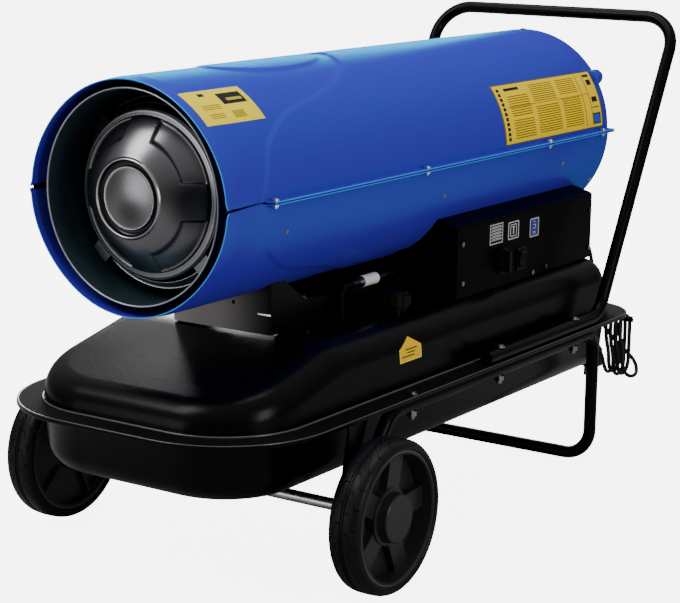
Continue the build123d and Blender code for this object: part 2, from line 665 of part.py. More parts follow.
hub_radius = 34.0
hub_recess = 23.0
spoke_width = 29.0
spoke_turn = 5.4
hub_face_x = 278.0
rim_inner = 81.0
web_x = wheel_inner_x + 14
rim = about_axle([
    (wheel_inner_x + 3, tyre_bead), (wheel_inner_x + 43, tyre_bead), (wheel_inner_x + 44, rim_inner + 1),
    (wheel_inner_x + 42, rim_inner), (web_x + 4, rim_inner - 2), (web_x + 4, hub_radius - 4),
    (web_x, hub_radius - 4), (web_x, rim_inner - 2), (wheel_inner_x + 3, rim_inner)])
spoke_back_x, spoke_face_x = wheel_inner_x + 18, wheel_inner_x + 29
spoke_length = rim_inner + 2 - hub_radius
spoke_middle = (rim_inner + 2 + hub_radius) / 2
spoke_count = 5
spoke_plane = Plane(((spoke_back_x + spoke_face_x) / 2, wheel_y, axle_z), (0, 1, 0), (1, 0, 0))
spoke = Pos(spoke_middle, 0, 0) * Box(spoke_length, spoke_width, spoke_face_x - spoke_back_x)
spoke += Pos(spoke_middle, 0, -8) * Box(spoke_length, 4, 16)
rim += [spoke_plane * Rot(0, 0, spoke_turn + 360 / spoke_count * step) * spoke
        for step in range(spoke_count)]
hub = about_axle([
    (wheel_inner_x + 2, 0), (wheel_inner_x + 2, 18), (wheel_inner_x + 10, 26), (spoke_back_x, 30),
    (spoke_back_x, hub_radius + 3), (spoke_face_x + 2, hub_radius + 3),
    (spoke_face_x + 3, hub_radius - 1),
    (hub_face_x, hub_radius - 2), (hub_face_x, 0)])
rim += hub
running_gap = 0.05
recess_x = 262.0
rim -= rod_x(axle_radius + running_gap, 200, 300, wheel_y, axle_z)
rim -= rod_x(hub_recess, recess_x, 300, wheel_y, axle_z)
cap_face_x = 286.5
hub_cap = about_axle([
    (hub_face_x - 4, hub_recess - 2), (hub_face_x - 4, hub_recess), (hub_face_x, hub_recess),
    (hub_face_x, hub_radius - 2), (cap_face_x - 1.5, hub_radius - 3), (cap_face_x, hub_radius - 4.5),
    (cap_face_x, 0), (cap_face_x - 4, 0), (cap_face_x - 4, hub_recess - 2)])
for side_name, side in (("right", 1), ("left", -1)):
    for name, solid in (("wheel_rim", rim), ("tyre", tyre), ("hub_cap", hub_cap)):
        save(f"{name}_{side_name}", solid if side == 1 else mirror(solid, Plane.YZ))

washer_x = recess_x + 0.3
washer_radius = 12.0
washer = rod_x(washer_radius, washer_x, washer_x + 2, wheel_y, axle_z)
washer -= rod_x(axle_radius, 250, 280, wheel_y, axle_z)
save("axle_washers", *both_sides(washer))
pin_eye = Cylinder(2 * pin_radius, 2 * pin_radius) - Cylinder(1.2, 4)
split_pin = rod_z(pin_radius, axle_z - 13, axle_z + 11, pin_x, wheel_y)
split_pin += Pos(pin_x, wheel_y, axle_z + 12.5) * Rot(0, 90, 0) * pin_eye
save("split_pins", *both_sides(split_pin))

# ---- Support and control box ----------------------------------------------------------------------

barrel_bore = rod_y(shell_radius, -10, barrel_length + 10)
crown_z = barrel_z - math.sqrt(shell_radius ** 2 - support_half_width ** 2) + 6
support_bend = 4.0
support_middle_y = (support_front_y + box_rear_y) / 2
support_length = box_rear_y - support_front_y
window_front_y, window_rear_y, window_sill_z = 270.0, 490.0, 337.0


def support_plan(inset):
    """The support's plan, with bent corners."""
    return Pos(0, support_middle_y) * RectangleRounded(
        2 * (support_half_width - inset), support_length - 2 * inset, support_bend - inset)


support = extrude(Pos(0, 0, tank_top_z) * (support_plan(0) - support_plan(support_sheet)),
                  amount=crown_z - tank_top_z)
support -= along_x([
    (window_front_y - 64, crown_z + 1), (window_front_y, window_sill_z), (window_rear_y, window_sill_z),
    (window_rear_y + 15, crown_z + 1)], -2 * support_half_width, 2 * support_half_width)
foot = block((support_half_width - support_sheet, support_half_width + 14),
             (support_front_y + 60, box_front_y - 10), (tank_top_z, tank_top_z + support_sheet))
foot -= rod_z(gauge_radius + 1, 290, 330, *gauge_place)
foot -= rod_z(line_diameter, 290, 330, filter_x, pickup_y)
support += both_sides(foot)
plate_span = (support_front_y - 1, support_front_y + 3)
slit = block((58, 90), plate_span, (328, 330.5))
support -= [slit, rod_y(3, *plate_span, 20, 340)]
support = (support - barrel_bore - lower_shell).solids().sort_by(SortBy.VOLUME)[-1]
support -= rod_x(line_diameter / 2 + 1, 70, 90, line_cross_y, line_cross_z)
save("support", support)

fold_x = box_outer_x - sheet
panel_bend = 5.0


def bent(outline, corner, radius):
    """Rounds the corner of an outline that lies nearest to a point."""
    return fillet(outline.vertices().sort_by_distance(corner)[0], radius)


end_face = make_face(Polyline(
    (support_half_width, box_bottom_z), (fold_x, box_bottom_z), (fold_x, box_edge_z - sheet),
    (box_crown_x, box_crown_z - sheet), (support_half_width, box_crown_z - sheet), close=True))
end_face = bent(end_face, (fold_x, box_edge_z - sheet), panel_bend - sheet)
gland_place = (118.0, 326.0)
box_bore = rod_y(barrel_radius, -10, barrel_length + 10)
fold_width, fold_depth = 12.0, 24.0
control_box = along_y(end_face, box_front_y, box_front_y + sheet)
control_box += along_y(end_face, box_rear_y - sheet, box_rear_y)
control_box += block((support_half_width, fold_x), (box_front_y, box_rear_y),
                     (box_bottom_z, box_bottom_z + sheet))
fold = block((fold_x - fold_width, fold_x), (box_front_y, box_front_y + fold_depth),
             (box_bottom_z, box_edge_z - panel_bend - 1))
fold -= block((fold_x - 2 * fold_width, fold_x - sheet),
              (box_front_y + sheet, box_front_y + fold_depth + 1), (300, 420))
control_box += fold
control_box += mirror(fold, Plane.XZ.offset(-(box_front_y + box_rear_y) / 2))
control_box += block((fold_x - sheet, fold_x), (730, 796), (box_bottom_z, 318))
control_box -= box_bore
panel_holes = [rod_x(tapping_radius, 140, 170, y, z) for y, z in panel_screw_places]
control_box -= panel_holes
control_box -= rod_y(7, box_rear_y - 5, box_rear_y + 5, *gland_place)
save("control_box", control_box)

panel_outline = make_face(Polyline(
    (box_outer_x, box_bottom_z), (box_outer_x, box_edge_z), (box_crown_x, box_crown_z),
    (box_crown_x, box_crown_z - sheet), (fold_x, box_edge_z - sheet), (fold_x, box_bottom_z),
    close=True))
panel_outline = bent(panel_outline, (box_outer_x, box_edge_z), panel_bend)
panel_outline = bent(panel_outline, (fold_x, box_edge_z - sheet), panel_bend - sheet)
control_panel = along_y(panel_outline, box_front_y, box_rear_y)
control_panel -= box_bore
control_panel -= panel_holes
spindle_radius = 3.0
control_panel -= rod_x(spindle_radius + 0.5, 150, 170, *knob_place)
switch_half_height, switch_half_width = 14.5, 10.5
control_panel -= Pos(box_outer_x, *switch_place) * Box(10, 2 * switch_half_width, 2 * switch_half_height)
save("control_panel", control_panel)

panel_head_radius, panel_head_height = 3.6, 2.2


def panel_screw(y, z):
    """A pan head screw through the panel into the box's folded edge."""
    shank = rod_x(tapping_radius, box_outer_x - 9, box_outer_x + 1, y, z)
    return rod_x(panel_head_radius, box_outer_x, box_outer_x + panel_head_height, y, z) + shank


save("panel_screws", *[panel_screw(*place) for place in panel_screw_places])

thermostat_size = 32.0
thermostat = Pos(fold_x - thermostat_size / 2, *knob_place) * Box(*[thermostat_size] * 3)
thermostat -= rod_x(spindle_radius + bore_clearance, box_outer_x - 22, box_outer_x, *knob_place)
save("thermostat", thermostat)
knob_gap = 0.6
knob_radius, dial_radius = 19.0, 16.0
grip_width, grip_length = 7.0, 30.0
knob = rod_x(knob_radius, box_outer_x + knob_gap, box_outer_x + 5, *knob_place)
knob += rod_x(dial_radius, box_outer_x + 4, box_outer_x + 8, *knob_place)
grip = Pos(box_outer_x + 11, *knob_place) * Box(10, grip_width, grip_length)
knob += grip & rod_x(dial_radius - 0.5, box_outer_x, box_outer_x + 20, *knob_place)
knob += rod_x(spindle_radius, box_outer_x - 20, box_outer_x + 1, *knob_place)
save("thermostat_knob", knob)

bezel_sheet = 2.0
body_depth = 18.0
well_back_x = box_outer_x - 15.5
bezel = Pos(box_outer_x + bezel_sheet / 2, *switch_place) * Box(bezel_sheet, 26, 34)
body = Pos(box_outer_x - body_depth / 2, *switch_place) * Box(
    body_depth, 2 * switch_half_width, 2 * switch_half_height)
well = Pos(well_back_x + 13, *switch_place) * Box(26, 18.2, 26.4)
save("switch_housing", bezel + body - well)
pivot_x = box_outer_x - 2.0
rocker_radius = 12.8
rocker_tilt = 9.0
rocker_width = 17.6
rocker_reach = math.radians(50)
rocker_top = rocker_radius * math.cos(rocker_reach), rocker_radius * math.sin(rocker_reach)
rocker_foot = rocker_top[0], -rocker_top[1]
rocker_face = make_face(
    Polyline(rocker_foot, (5.4, 0), rocker_top)
    + ThreePointArc(rocker_top, (-rocker_radius, 0), rocker_foot))
rocker = along_y(rocker_face, -rocker_width / 2, rocker_width / 2)
rocker = Pos(pivot_x, *switch_place) * Rot(0, rocker_tilt, 0) * rocker
save("rocker_switch", rocker)

box_floor_z = box_bottom_z + sheet
save("ignition_transformer", block((90, 138), (820, 900), (box_floor_z, box_floor_z + 46.5)))
board_x = 98.0
board = block((board_x - 2, board_x), (580, 800), (box_floor_z, box_floor_z + 52.5))
board_parts = [(600, 320, 14), (660, 330, 9), (720, 318, 18)]
board += [block((board_x, board_x + depth), (y, y + 22), (z, z + 16)) for y, z, depth in board_parts]
save("control_board", board)

gland_x, gland_z = gland_place
gland_tip_y = box_rear_y + 22
gland_nut = 6.0
gland_base = Plane((gland_x, box_rear_y, gland_z), (1, 0, 0), (0, -1, 0))
gland = gland_base * extrude(RegularPolygon(11, 6), amount=-gland_nut)
gland += rod_y(7, box_rear_y - 8, box_rear_y + 1, gland_x, gland_z)
gland += gland_base * Pos(0, 0, -gland_nut) * extrude(Circle(8.5), amount=-16, taper=12)
save("cord_gland", gland)

# ---- Fuel and air lines ---------------------------------------------------------------------------

filter_radius, filter_half, filter_cone = 8.0, 17.0, 7.0
filter_reach = 40.0
nipple_radius = 4.0
cone = Pos(0, 0, filter_half + filter_cone / 2) * Cone(filter_radius, nipple_radius, filter_cone)
filter_body = Cylinder(filter_radius, 2 * filter_half) + cone + mirror(cone, Plane.XY)
fuel_filter = Pos(filter_x, filter_y, filter_z) * Rot(90, 0, 0) * filter_body
fuel_filter += rod_y(nipple_radius, filter_y - filter_reach, filter_y + filter_reach, filter_x, filter_z)
save("fuel_filter", fuel_filter)
suction_line = pipe([
    (filter_x, filter_y - filter_reach, filter_z), (filter_x, pickup_y, filter_z),
    (filter_x, pickup_y, tank_bottom_z + 14)], 14, None, line_diameter)
pressure_line = pipe([
    (filter_x, filter_y + filter_reach, filter_z), (filter_x, filter_y + filter_reach + 22, filter_z),
    (filter_x, line_cross_y, line_cross_z), (0, line_cross_y, line_cross_z),
    (0, line_rise_y, line_cross_z), (0, line_rise_y, barrel_z), (0, nozzle_rear_y, barrel_z)],
    [10, 10, 16, 16, 16], None, line_diameter)
save("fuel_line", suction_line, pressure_line)
air_angle = -30.0
air_line = radial(air_angle) * pipe([
    (pump_radius - 2, pump_rear_y - 18, 0), (fan_radius + 9, pump_rear_y - 18, 0),
    (fan_radius + 9, nozzle_rear_y - 8, 0), (nozzle_radius - 1, nozzle_rear_y - 8, 0)],
    20, None, line_diameter)
air_line -= rod_y(pump_radius, bracket_y, pump_rear_y)
air_line -= rod_y(nozzle_radius, nozzle_rear_y - 30, nozzle_rear_y)
save("air_line", air_line)

# ---- Mains cord -----------------------------------------------------------------------------------

hook_radius = 3.0
hook_z = hank_top_z + hank_radius - cord_diameter / 2 - hook_radius - 0.05
hook_tip_x = 214.0
cord_hook = rod_x(hook_radius, 116, hook_tip_x, hank_y, hook_z)
cord_hook += rod_z(hook_radius, hook_z, hook_z + 6, hook_tip_x - hook_radius, hank_y)
cord_hook += [rod_z(hook_radius, hook_z, tank_flange_z - flange_sheet, x, hank_y) for x in (119, 162)]
save("cord_hook", cord_hook)


def turn(start, end, bulge_z):
    """A half turn of the hank, in a plane square to the hook."""
    middle = (start[0], (start[1] + end[1]) / 2, bulge_z)
    return Edge.make_three_point_arc(start, middle, end)


def climb(start, end):
    """A run that shifts sideways in an S of two equal arcs, and leaves as it came, straight up."""
    rise, shift = (end[2] - start[2]) / 2, (end[0] - start[0]) / 2
    radius = (rise ** 2 + shift ** 2) / (2 * abs(shift))
    middle = ((start[0] + end[0]) / 2, start[1], (start[2] + end[2]) / 2)
    half_angle = math.atan2(abs(shift), rise)
    sag_x = math.copysign(radius * (1 - math.cos(half_angle)), shift)
    sag_z = radius * math.sin(half_angle)
    first = (start[0] + sag_x, start[1], start[2] + sag_z)
    second = (end[0] - sag_x, end[1], end[2] - sag_z)
    halves = (start, first, middle), (middle, second, end)
    return [Edge.make_three_point_arc(*half) for half in halves]


hank_front_y, hank_rear_y = hank_y - hank_radius, hank_y + hank_radius
hank_start = (hank_outer_x + hank_pitch, hank_front_y, 145.0)
foot_point = (hank_start[0], hank_front_y, hank_start[2] + cord_diameter)
hank_edges = [Edge.make_line(hank_start, foot_point)]
for loop, bottom_z in enumerate(hank_bottoms):
    x = hank_outer_x - loop * hank_pitch
    hank_edges += climb(foot_point, (x, hank_front_y, hank_top_z))
    front_top, rear_top = (x, hank_front_y, hank_top_z), (x, hank_rear_y, hank_top_z)
    hank_edges.append(turn(front_top, rear_top, hank_top_z + hank_radius))
    hank_edges.append(Edge.make_line(rear_top, (x, hank_rear_y, bottom_z)))
    foot_point = (x, hank_front_y, bottom_z)
    hank_edges.append(turn((x, hank_rear_y, bottom_z), foot_point, bottom_z - hank_radius))
tail_front, tail_rear = (tail_x, hank_front_y, hank_top_z), (tail_x, hank_rear_y, hank_top_z)
hank_edges += climb(foot_point, tail_front)
hank_edges.append(turn(tail_front, tail_rear, hank_top_z + hank_radius))
plug_top_z = 172.0
hank_edges.append(Edge.make_line(tail_rear, (tail_x, hank_rear_y, plug_top_z)))
hank_path = Wire(hank_edges)
cord_section = RegularPolygon(cord_diameter / 2, 8)
cord_hank = sweep(Plane(hank_start, z_dir=(0, 0, 1)) * cord_section, path=hank_path)
save("cord_hank", cord_hank)

steps = 700
samples = [hank_path @ (step / steps) for step in range(steps + 1)]
apart = int(30 / (hank_path.length / steps))
least = min((near - far).length for i, near in enumerate(samples) for far in samples[i + apart:])
print("hank length", round(hank_path.length), "least gap", round(least - cord_diameter, 2))

lead_points = [
    (gland_x, gland_tip_y, gland_z), (gland_x, 982, gland_z), (119, 1008, 308), (120, 1021, 280),
    (121, 1025, 246), (125, 1025, 212), (137, 1026, 182), (158, 1027, 157), (182, 1027, 139),
    (206, 1020, 124), (217, 1003, 108), (213, 982, 107), (hank_start[0], hank_front_y, 123), hank_start]


def natural_radii(points):
    """Each bend as large as its two runs allow."""
    vectors = [Vector(*b) - Vector(*a) for a, b in zip(points, points[1:])]
    return [0.45 * min(u.length, v.length) / math.tan(math.radians(u.get_angle(v)) / 2)
            for u, v in zip(vectors, vectors[1:])]


lead_radii = natural_radii(lead_points)
print("lead bend radii", [round(radius) for radius in lead_radii])
power_cord = pipe(lead_points, lead_radii, None, cord_diameter)
save("power_cord", power_cord)
print("lead length", round(power_cord.volume / cord_section.area), "hank volume over section times length",
      round(cord_hank.volume / (hank_path.length * cord_section.area), 4))

plug_x, plug_y = tail_x, hank_rear_y
plug_radius = 18.0
plug_face_z, plug_shoulder_z = 112.0, 138.0
pin_spacing, plug_pin_radius, plug_pin_length = 19.0, 2.4, 19.0
sleeve_radius = cord_diameter / 2 + 1.2
plug = Pos(plug_x, plug_y, plug_top_z) * extrude(Circle(sleeve_radius), amount=-24, taper=-8)
plug += rod_z(plug_radius, plug_face_z, plug_shoulder_z, plug_x, plug_y)
plug += Pos(plug_x, plug_y, plug_shoulder_z) * extrude(Circle(plug_radius), amount=12, taper=32)
plug += [rod_z(plug_pin_radius, plug_face_z - plug_pin_length, plug_face_z + 1, plug_x + offset, plug_y)
         for offset in (-pin_spacing / 2, pin_spacing / 2)]
save("plug", plug)
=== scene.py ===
import math

import bpy
import numpy as np
from mathutils import Matrix, Vector


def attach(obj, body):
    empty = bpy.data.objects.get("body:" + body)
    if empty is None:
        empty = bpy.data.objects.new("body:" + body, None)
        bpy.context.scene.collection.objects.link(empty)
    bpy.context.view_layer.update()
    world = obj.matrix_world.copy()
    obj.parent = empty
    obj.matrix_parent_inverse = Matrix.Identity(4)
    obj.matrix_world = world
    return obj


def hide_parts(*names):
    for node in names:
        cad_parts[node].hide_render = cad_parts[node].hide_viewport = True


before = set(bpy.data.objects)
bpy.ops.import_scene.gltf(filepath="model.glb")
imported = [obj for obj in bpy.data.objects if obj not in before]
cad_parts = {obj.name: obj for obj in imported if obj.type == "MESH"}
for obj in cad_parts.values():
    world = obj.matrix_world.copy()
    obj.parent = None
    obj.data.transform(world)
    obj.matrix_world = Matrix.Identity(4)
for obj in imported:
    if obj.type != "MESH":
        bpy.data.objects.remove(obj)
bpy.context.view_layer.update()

# ---- Camera ---------------------------------------------------------------------------------------
# The heater is seen from its outlet end and its control side, from a little above the barrel.
# The camera stands 2.6 m away with a lens of about 105 mm, turned by under a degree.

view_azimuth = math.radians(33.72)
view_elevation = math.radians(12.14)
view_roll = math.radians(0.77)
view_distance = 2.5898
view_target = Vector((0.12213, -0.24384, 0.33741))

back = Vector((math.sin(view_azimuth) * math.cos(view_elevation),
               -math.cos(view_azimuth) * math.cos(view_elevation), math.sin(view_elevation)))
right = Vector((math.cos(view_azimuth), math.sin(view_azimuth), 0))
up = back.cross(right)
right_turned = right * math.cos(view_roll) + up * math.sin(view_roll)
up_turned = up * math.cos(view_roll) - right * math.sin(view_roll)
bpy.ops.object.camera_add()
camera = bpy.context.object
camera.name = "camera"
camera.data.sensor_fit = "HORIZONTAL"
camera.data.sensor_width = 36
camera.data.lens = 104.82
camera.data.clip_end = 50
camera_axes = Matrix((right_turned, up_turned, back)).transposed().to_4x4()
camera.matrix_world = Matrix.Translation(view_target + back * view_distance) @ camera_axes
bpy.context.scene.camera = camera

# ---- Floor and light ------------------------------------------------------------------------------
# A wide floor of matt white paper in an even, pale studio. Soft boxes light the heater from above, from
# the front left high and low, from the control side and from behind on the left.


def select_only(piece=None):
    """Leaves nothing selected but this piece, which becomes the one that tools act on."""
    bpy.ops.object.select_all(action="DESELECT")
    if piece:
        piece.select_set(True)
    bpy.context.view_layer.objects.active = piece


def feed(tree, socket, value):
    """Gives a socket a plain value, or what another node puts out."""
    if isinstance(value, bpy.types.NodeSocket):
        tree.links.new(value, socket)
    else:
        socket.default_value = value


def graded(tree, value, start, end, low=0.0, high=1.0, soft=False):
    """Goes from low to high while a value goes from start to end, evenly or with soft ends."""
    step = tree.nodes.new("ShaderNodeMapRange")
    if soft:
        step.interpolation_type = "SMOOTHSTEP"
    for name, given in (("Value", value), ("From Min", start), ("From Max", end), ("To Min", low),
                        ("To Max", high)):
        feed(tree, step.inputs[name], given)
    return step.outputs["Result"]


def new_group(name, takes, gives):
    """An empty node group with named inputs and outputs. All are numbers but the one called Place."""
    group = bpy.data.node_groups.new(name, "ShaderNodeTree")
    for in_out, sockets in (("INPUT", takes), ("OUTPUT", gives)):
        for socket in sockets:
            kind = "NodeSocketVector" if socket == "Place" else "NodeSocketFloat"
            group.interface.new_socket(socket, in_out=in_out, socket_type=kind)
    return group, group.nodes.new("NodeGroupInput"), group.nodes.new("NodeGroupOutput")


def grain_group():
    """Two kinds of unevenness that real surfaces have: broad clouds and a fine grain."""
    group, given, result = new_group("grain", ("Cloud Scale", "Grain Scale"), ("Cloud", "Grain"))
    place = group.nodes.new("ShaderNodeTexCoord")
    for name, detail in (("Cloud", 4), ("Grain", 2)):
        noise = group.nodes.new("ShaderNodeTexNoise")
        noise.inputs["Detail"].default_value = detail
        group.links.new(place.outputs["Object"], noise.inputs["Vector"])
        group.links.new(given.outputs[name + " Scale"], noise.inputs["Scale"])
        group.links.new(noise.outputs["Fac"], result.inputs[name])
    return group


grain = grain_group()
cloud_thin, cloud_thick = 0.2, 0.8


def finish(name, dark, light, roughness, clouds=6, grains=900, relief=0.0, **sockets):
    """A finish whose colour and gloss vary a little in clouds, with a fine grain in its relief."""
    material = bpy.data.materials.new(name)
    material.use_nodes = True
    tree = material.node_tree
    shader = tree.nodes["Principled BSDF"]
    for socket, value in sockets.items():
        shader.inputs[socket.replace("_", " ")].default_value = value
    texture = tree.nodes.new("ShaderNodeGroup")
    texture.node_tree = grain
    texture.inputs["Cloud Scale"].default_value = clouds
    texture.inputs["Grain Scale"].default_value = grains
    colour = tree.nodes.new("ShaderNodeMix")
    colour.name = "colour"
    colour.data_type = "RGBA"
    colour.inputs["A"].default_value = (*dark, 1)
    colour.inputs["B"].default_value = (*light, 1)
    tree.links.new(texture.outputs["Cloud"], colour.inputs["Factor"])
    tree.links.new(colour.outputs["Result"], shader.inputs["Base Color"])
    gloss = graded(tree, texture.outputs["Cloud"], cloud_thin, cloud_thick, *roughness, soft=True)
    tree.links.new(gloss, shader.inputs["Roughness"])
    if relief:
        bump = tree.nodes.new("ShaderNodeBump")
        bump.inputs["Strength"].default_value = 1
        bump.inputs["Distance"].default_value = relief
        tree.links.new(texture.outputs["Grain"], bump.inputs["Height"])
        tree.links.new(bump.outputs["Normal"], shader.inputs["Normal"])
    return material


def dress(material, *names):
    """Gives CAD nodes a finish."""
    for name in names:
        for material_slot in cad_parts[name].material_slots:
            material_slot.material = material


def seen_brighter(tree, socket, seen, unseen):
    """Makes a pale surround that looks white and still lights the heater only softly."""
    light_path = tree.nodes.new("ShaderNodeLightPath")
    tree.links.new(graded(tree, light_path.outputs["Is Camera Ray"], 0, 1, unseen, seen), socket)


paper = finish("studio_paper", (0.36, 0.36, 0.36), (0.4, 0.4, 0.4), (0.8, 0.9), clouds=1.5,
               Specular_IOR_Level=0.1, Emission_Color=(1, 1, 1, 1))
seen_brighter(paper.node_tree, paper.node_tree.nodes["Principled BSDF"].inputs["Emission Strength"],
              seen=6.2, unseen=0)
select_only()
bpy.ops.mesh.primitive_plane_add(size=80)
floor = bpy.context.object
floor.name = "floor"
floor.data.materials.append(paper)

world = bpy.data.worlds.new("studio")
bpy.context.scene.world = world
world.use_nodes = True
surround = world.node_tree.nodes["Background"]
surround.inputs["Color"].default_value = (1, 1, 1, 1)
direction = world.node_tree.nodes.new("ShaderNodeTexCoord")
direction_parts = world.node_tree.nodes.new("ShaderNodeSeparateXYZ")
world.node_tree.links.new(direction.outputs["Generated"], direction_parts.inputs["Vector"])
ceiling_light = graded(world.node_tree, direction_parts.outputs["Z"], -0.1, 0.9, 0.05, 0.75)
seen_brighter(world.node_tree, surround.inputs["Strength"], seen=6.6, unseen=ceiling_light)


def soft_box(name, place, aim, width, height, power):
    """A rectangular studio light that faces a point on the heater."""
    bpy.ops.object.light_add(type="AREA", location=place)
    light = bpy.context.object
    light.name = name
    light.data.shape = "RECTANGLE"
    light.data.size = width
    light.data.size_y = height
    light.data.energy = power
    light.visible_camera = False
    light.rotation_euler = (Vector(aim) - Vector(place)).to_track_quat("-Z", "Y").to_euler()


soft_box("overhead", (-0.5, 0.2, 2.9), (-0.1, 0, 0.4), 1.3, 2.4, 45)
soft_box("front_left", (-1.18, -1.75, 2.45), (0, -0.53, 0.5), 1.0, 1.2, 40)
soft_box("front_low", (-1.08, -2.6, 0.5), (0, -0.53, 0.45), 1.0, 0.9, 9)
soft_box("right_side", (2.5, -0.7, 0.95), (0, 0, 0.4), 0.7, 1.2, 26)
soft_box("rear_left", (-2.2, 2.75, 1.35), (0, 0, 0.5), 1.6, 0.9, 80)

# ---- Mains cord -----------------------------------------------------------------------------------
# Black sheathed mains lead, 6.2 mm thick and 1.4 m long. It leaves the gland behind the control box,
# drops behind the tank, goes four times round the hook under the tank's flange and ends in its plug.

outlet_y = -0.5301


def behind_rim(x, y, z):
    """A place on the heater, from millimetres across, behind the outlet's rim and above the floor."""
    return Vector((x / 1000, outlet_y + y / 1000, z / 1000))


cord_diameter = 0.0062
gland_tip = (118, 954, 326)
lead_points = [
    gland_tip, (118, 982, 326), (119, 1008, 308), (120, 1021, 280), (121, 1025, 246), (125, 1025, 212),
    (137, 1026, 182), (158, 1027, 157), (182, 1027, 139), (206, 1020, 124), (217, 1003, 108),
    (213, 982, 107), (207.8, 966, 123)]
hank_y, hank_top, hank_radius, hank_pitch = 985, 186, 19, 7.8
hank_bottoms = (130, 128, 132, 129.5)
loop_xs = [*(200 - hank_pitch * loop for loop in range(4)), 134]
corner_reach = hank_radius / math.cos(math.radians(22.5))
plug_top = 172

hank_points = []
low_x, low_z = 207.8, 151
for loop, x in enumerate(loop_xs):
    for share, shift in ((0.3, 0.14), (0.7, 0.86)):
        hank_points.append((low_x + (x - low_x) * shift, hank_y - hank_radius,
                            low_z + (hank_top - low_z) * share))
    for angle in (157.5, 112.5, 67.5, 22.5):
        hank_points.append((x, hank_y + corner_reach * math.cos(math.radians(angle)),
                            hank_top + corner_reach * math.sin(math.radians(angle))))
    if x == loop_xs[-1]:
        break
    bottom = hank_bottoms[loop]
    for share in (0.35, 0.75):
        hank_points.append((x, hank_y + hank_radius, hank_top + (bottom - hank_top) * share))
    for angle in (-22.5, -67.5, -112.5, -157.5):
        hank_points.append((x, hank_y + corner_reach * math.cos(math.radians(angle)),
                            bottom + corner_reach * math.sin(math.radians(angle))))
    low_x, low_z = x, bottom
hank_points.append((loop_xs[-1], hank_y + hank_radius, plug_top))

cord_line = bpy.data.curves.new("mains_cord", "CURVE")
cord_line.dimensions = "3D"
run = cord_line.splines.new("NURBS")
route = [behind_rim(*point) for point in lead_points + hank_points]
run.points.add(len(route) - 1)
for point, place in zip(run.points, route):
    point.co = (*place, 1)
run.order_u = 3
run.use_endpoint_u = True
run.resolution_u = 8
cord_line.bevel_depth = cord_diameter / 2
cord_line.bevel_resolution = 5
mains_cord = bpy.data.objects.new("mains_cord", cord_line)
bpy.context.collection.objects.link(mains_cord)
cord_sheath = finish("cord_sheath", (0.003, 0.003, 0.0034), (0.006, 0.006, 0.0066), (0.4, 0.5),
                     clouds=25, grains=1500, relief=0.00003, Specular_IOR_Level=0.15)
cord_line.materials.append(cord_sheath)
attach(mains_cord, "chassis")
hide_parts("power_cord", "cord_hank")
dress(cord_sheath, "plug")

# ---- Barrel shells --------------------------------------------------------------------------------
# Two half shells of 1.5 mm steel sheet, rolled, pressed and powder coated blue. Each has a drawn-in
# front rim, a field raised by 1.8 mm at the rear, a pad on its crest and a flange along each side.

barrel_z = 497
sheet = 1.5


def formed_sheet(name, columns, rows, form):
    """A flat grid laid over a shape: form gives x, y behind the rim and z from the two shares, in mm."""
    select_only()
    bpy.ops.mesh.primitive_grid_add(x_subdivisions=columns, y_subdivisions=rows, size=2)
    piece = bpy.context.object
    piece.name = name
    corners = np.empty(3 * len(piece.data.vertices))
    piece.data.vertices.foreach_get("co", corners)
    across, along = np.clip((corners.reshape(-1, 3)[:, :2].T + 1) / 2, 0, 1)
    places = np.stack(np.broadcast_arrays(*form(across, along)), axis=1) / 1000
    places[:, 1] += outlet_y
    piece.data.vertices.foreach_set("co", places.ravel())
    piece.data.update()
    return piece


def close_seams(piece, gap=0.00005):
    """Merges doubled corners and turns the faces outwards."""
    select_only(piece)
    bpy.ops.object.mode_set(mode="EDIT")
    bpy.ops.mesh.select_all(action="SELECT")
    bpy.ops.mesh.remove_doubles(threshold=gap)
    bpy.ops.mesh.normals_make_consistent(inside=False)
    bpy.ops.object.mode_set(mode="OBJECT")


def add_thickness(piece, thickness):
    """Gives a sheet its thickness, inwards."""
    select_only(piece)
    wall = piece.modifiers.new("wall", "SOLIDIFY")
    wall.thickness = thickness / 1000
    wall.offset = -1
    bpy.ops.object.modifier_apply(modifier="wall")


def soften(piece, width, angle=45, segments=2, shading=35):
    """Rounds the sharp edges a little and shades the rest smoothly."""
    select_only(piece)
    rounding = piece.modifiers.new("rounding", "BEVEL")
    rounding.width = width / 1000
    rounding.segments = segments
    rounding.limit_method = "ANGLE"
    rounding.angle_limit = math.radians(angle)
    bpy.ops.object.modifier_apply(modifier="rounding")
    bpy.ops.object.shade_smooth_by_angle(angle=math.radians(shading))


rim_radius, rim_taper, shell_radius, pressing_depth = 145.5, 22, 147.2, 1.8
barrel_length, curl_length, curl_drop = 1004, 8, 3
rim_bulge, corner_flare = 7, 3
crest_leans = (0, 23.3, 38.6, 48.2, 63.2, 90)
field_ys = (418, 381, 298, 173, 107, 76)
pad_y, pad_half_width, pad_half_length = 272, 44, 120
press_slope = 4.5
flange_front, flange_reach, flange_corner, flange_root_x = 78, 13.5, 10, 155
row_shares, row_ys = (0, 0.08, 0.62, 0.95, 1), (0, 30, 440, 990, barrel_length)
wedge_front, wedge_rear, flare_width, flare_length = 1.7, 0.3, 9, 14
lap_height, lap_gap, lap_setback, lap_sheet = 6.4, 1.2, 1.5, 1


def pressed_share(share):
    """A soft step from 0 to 1."""
    share = np.clip(share, 0, 1)
    return share * share * (3 - 2 * share)


def pressed(distance):
    """How far the sheet is raised, from 0 to 1, at a distance inside the edge of a pressing."""
    return pressed_share(distance / press_slope + 0.5)


def field_edge(lean):
    """Where the raised field begins, at an angle from the crest."""
    return sum(np.interp(np.abs(lean + shift), crest_leans, field_ys) for shift in (-4, -2, 0, 2, 4)) / 5


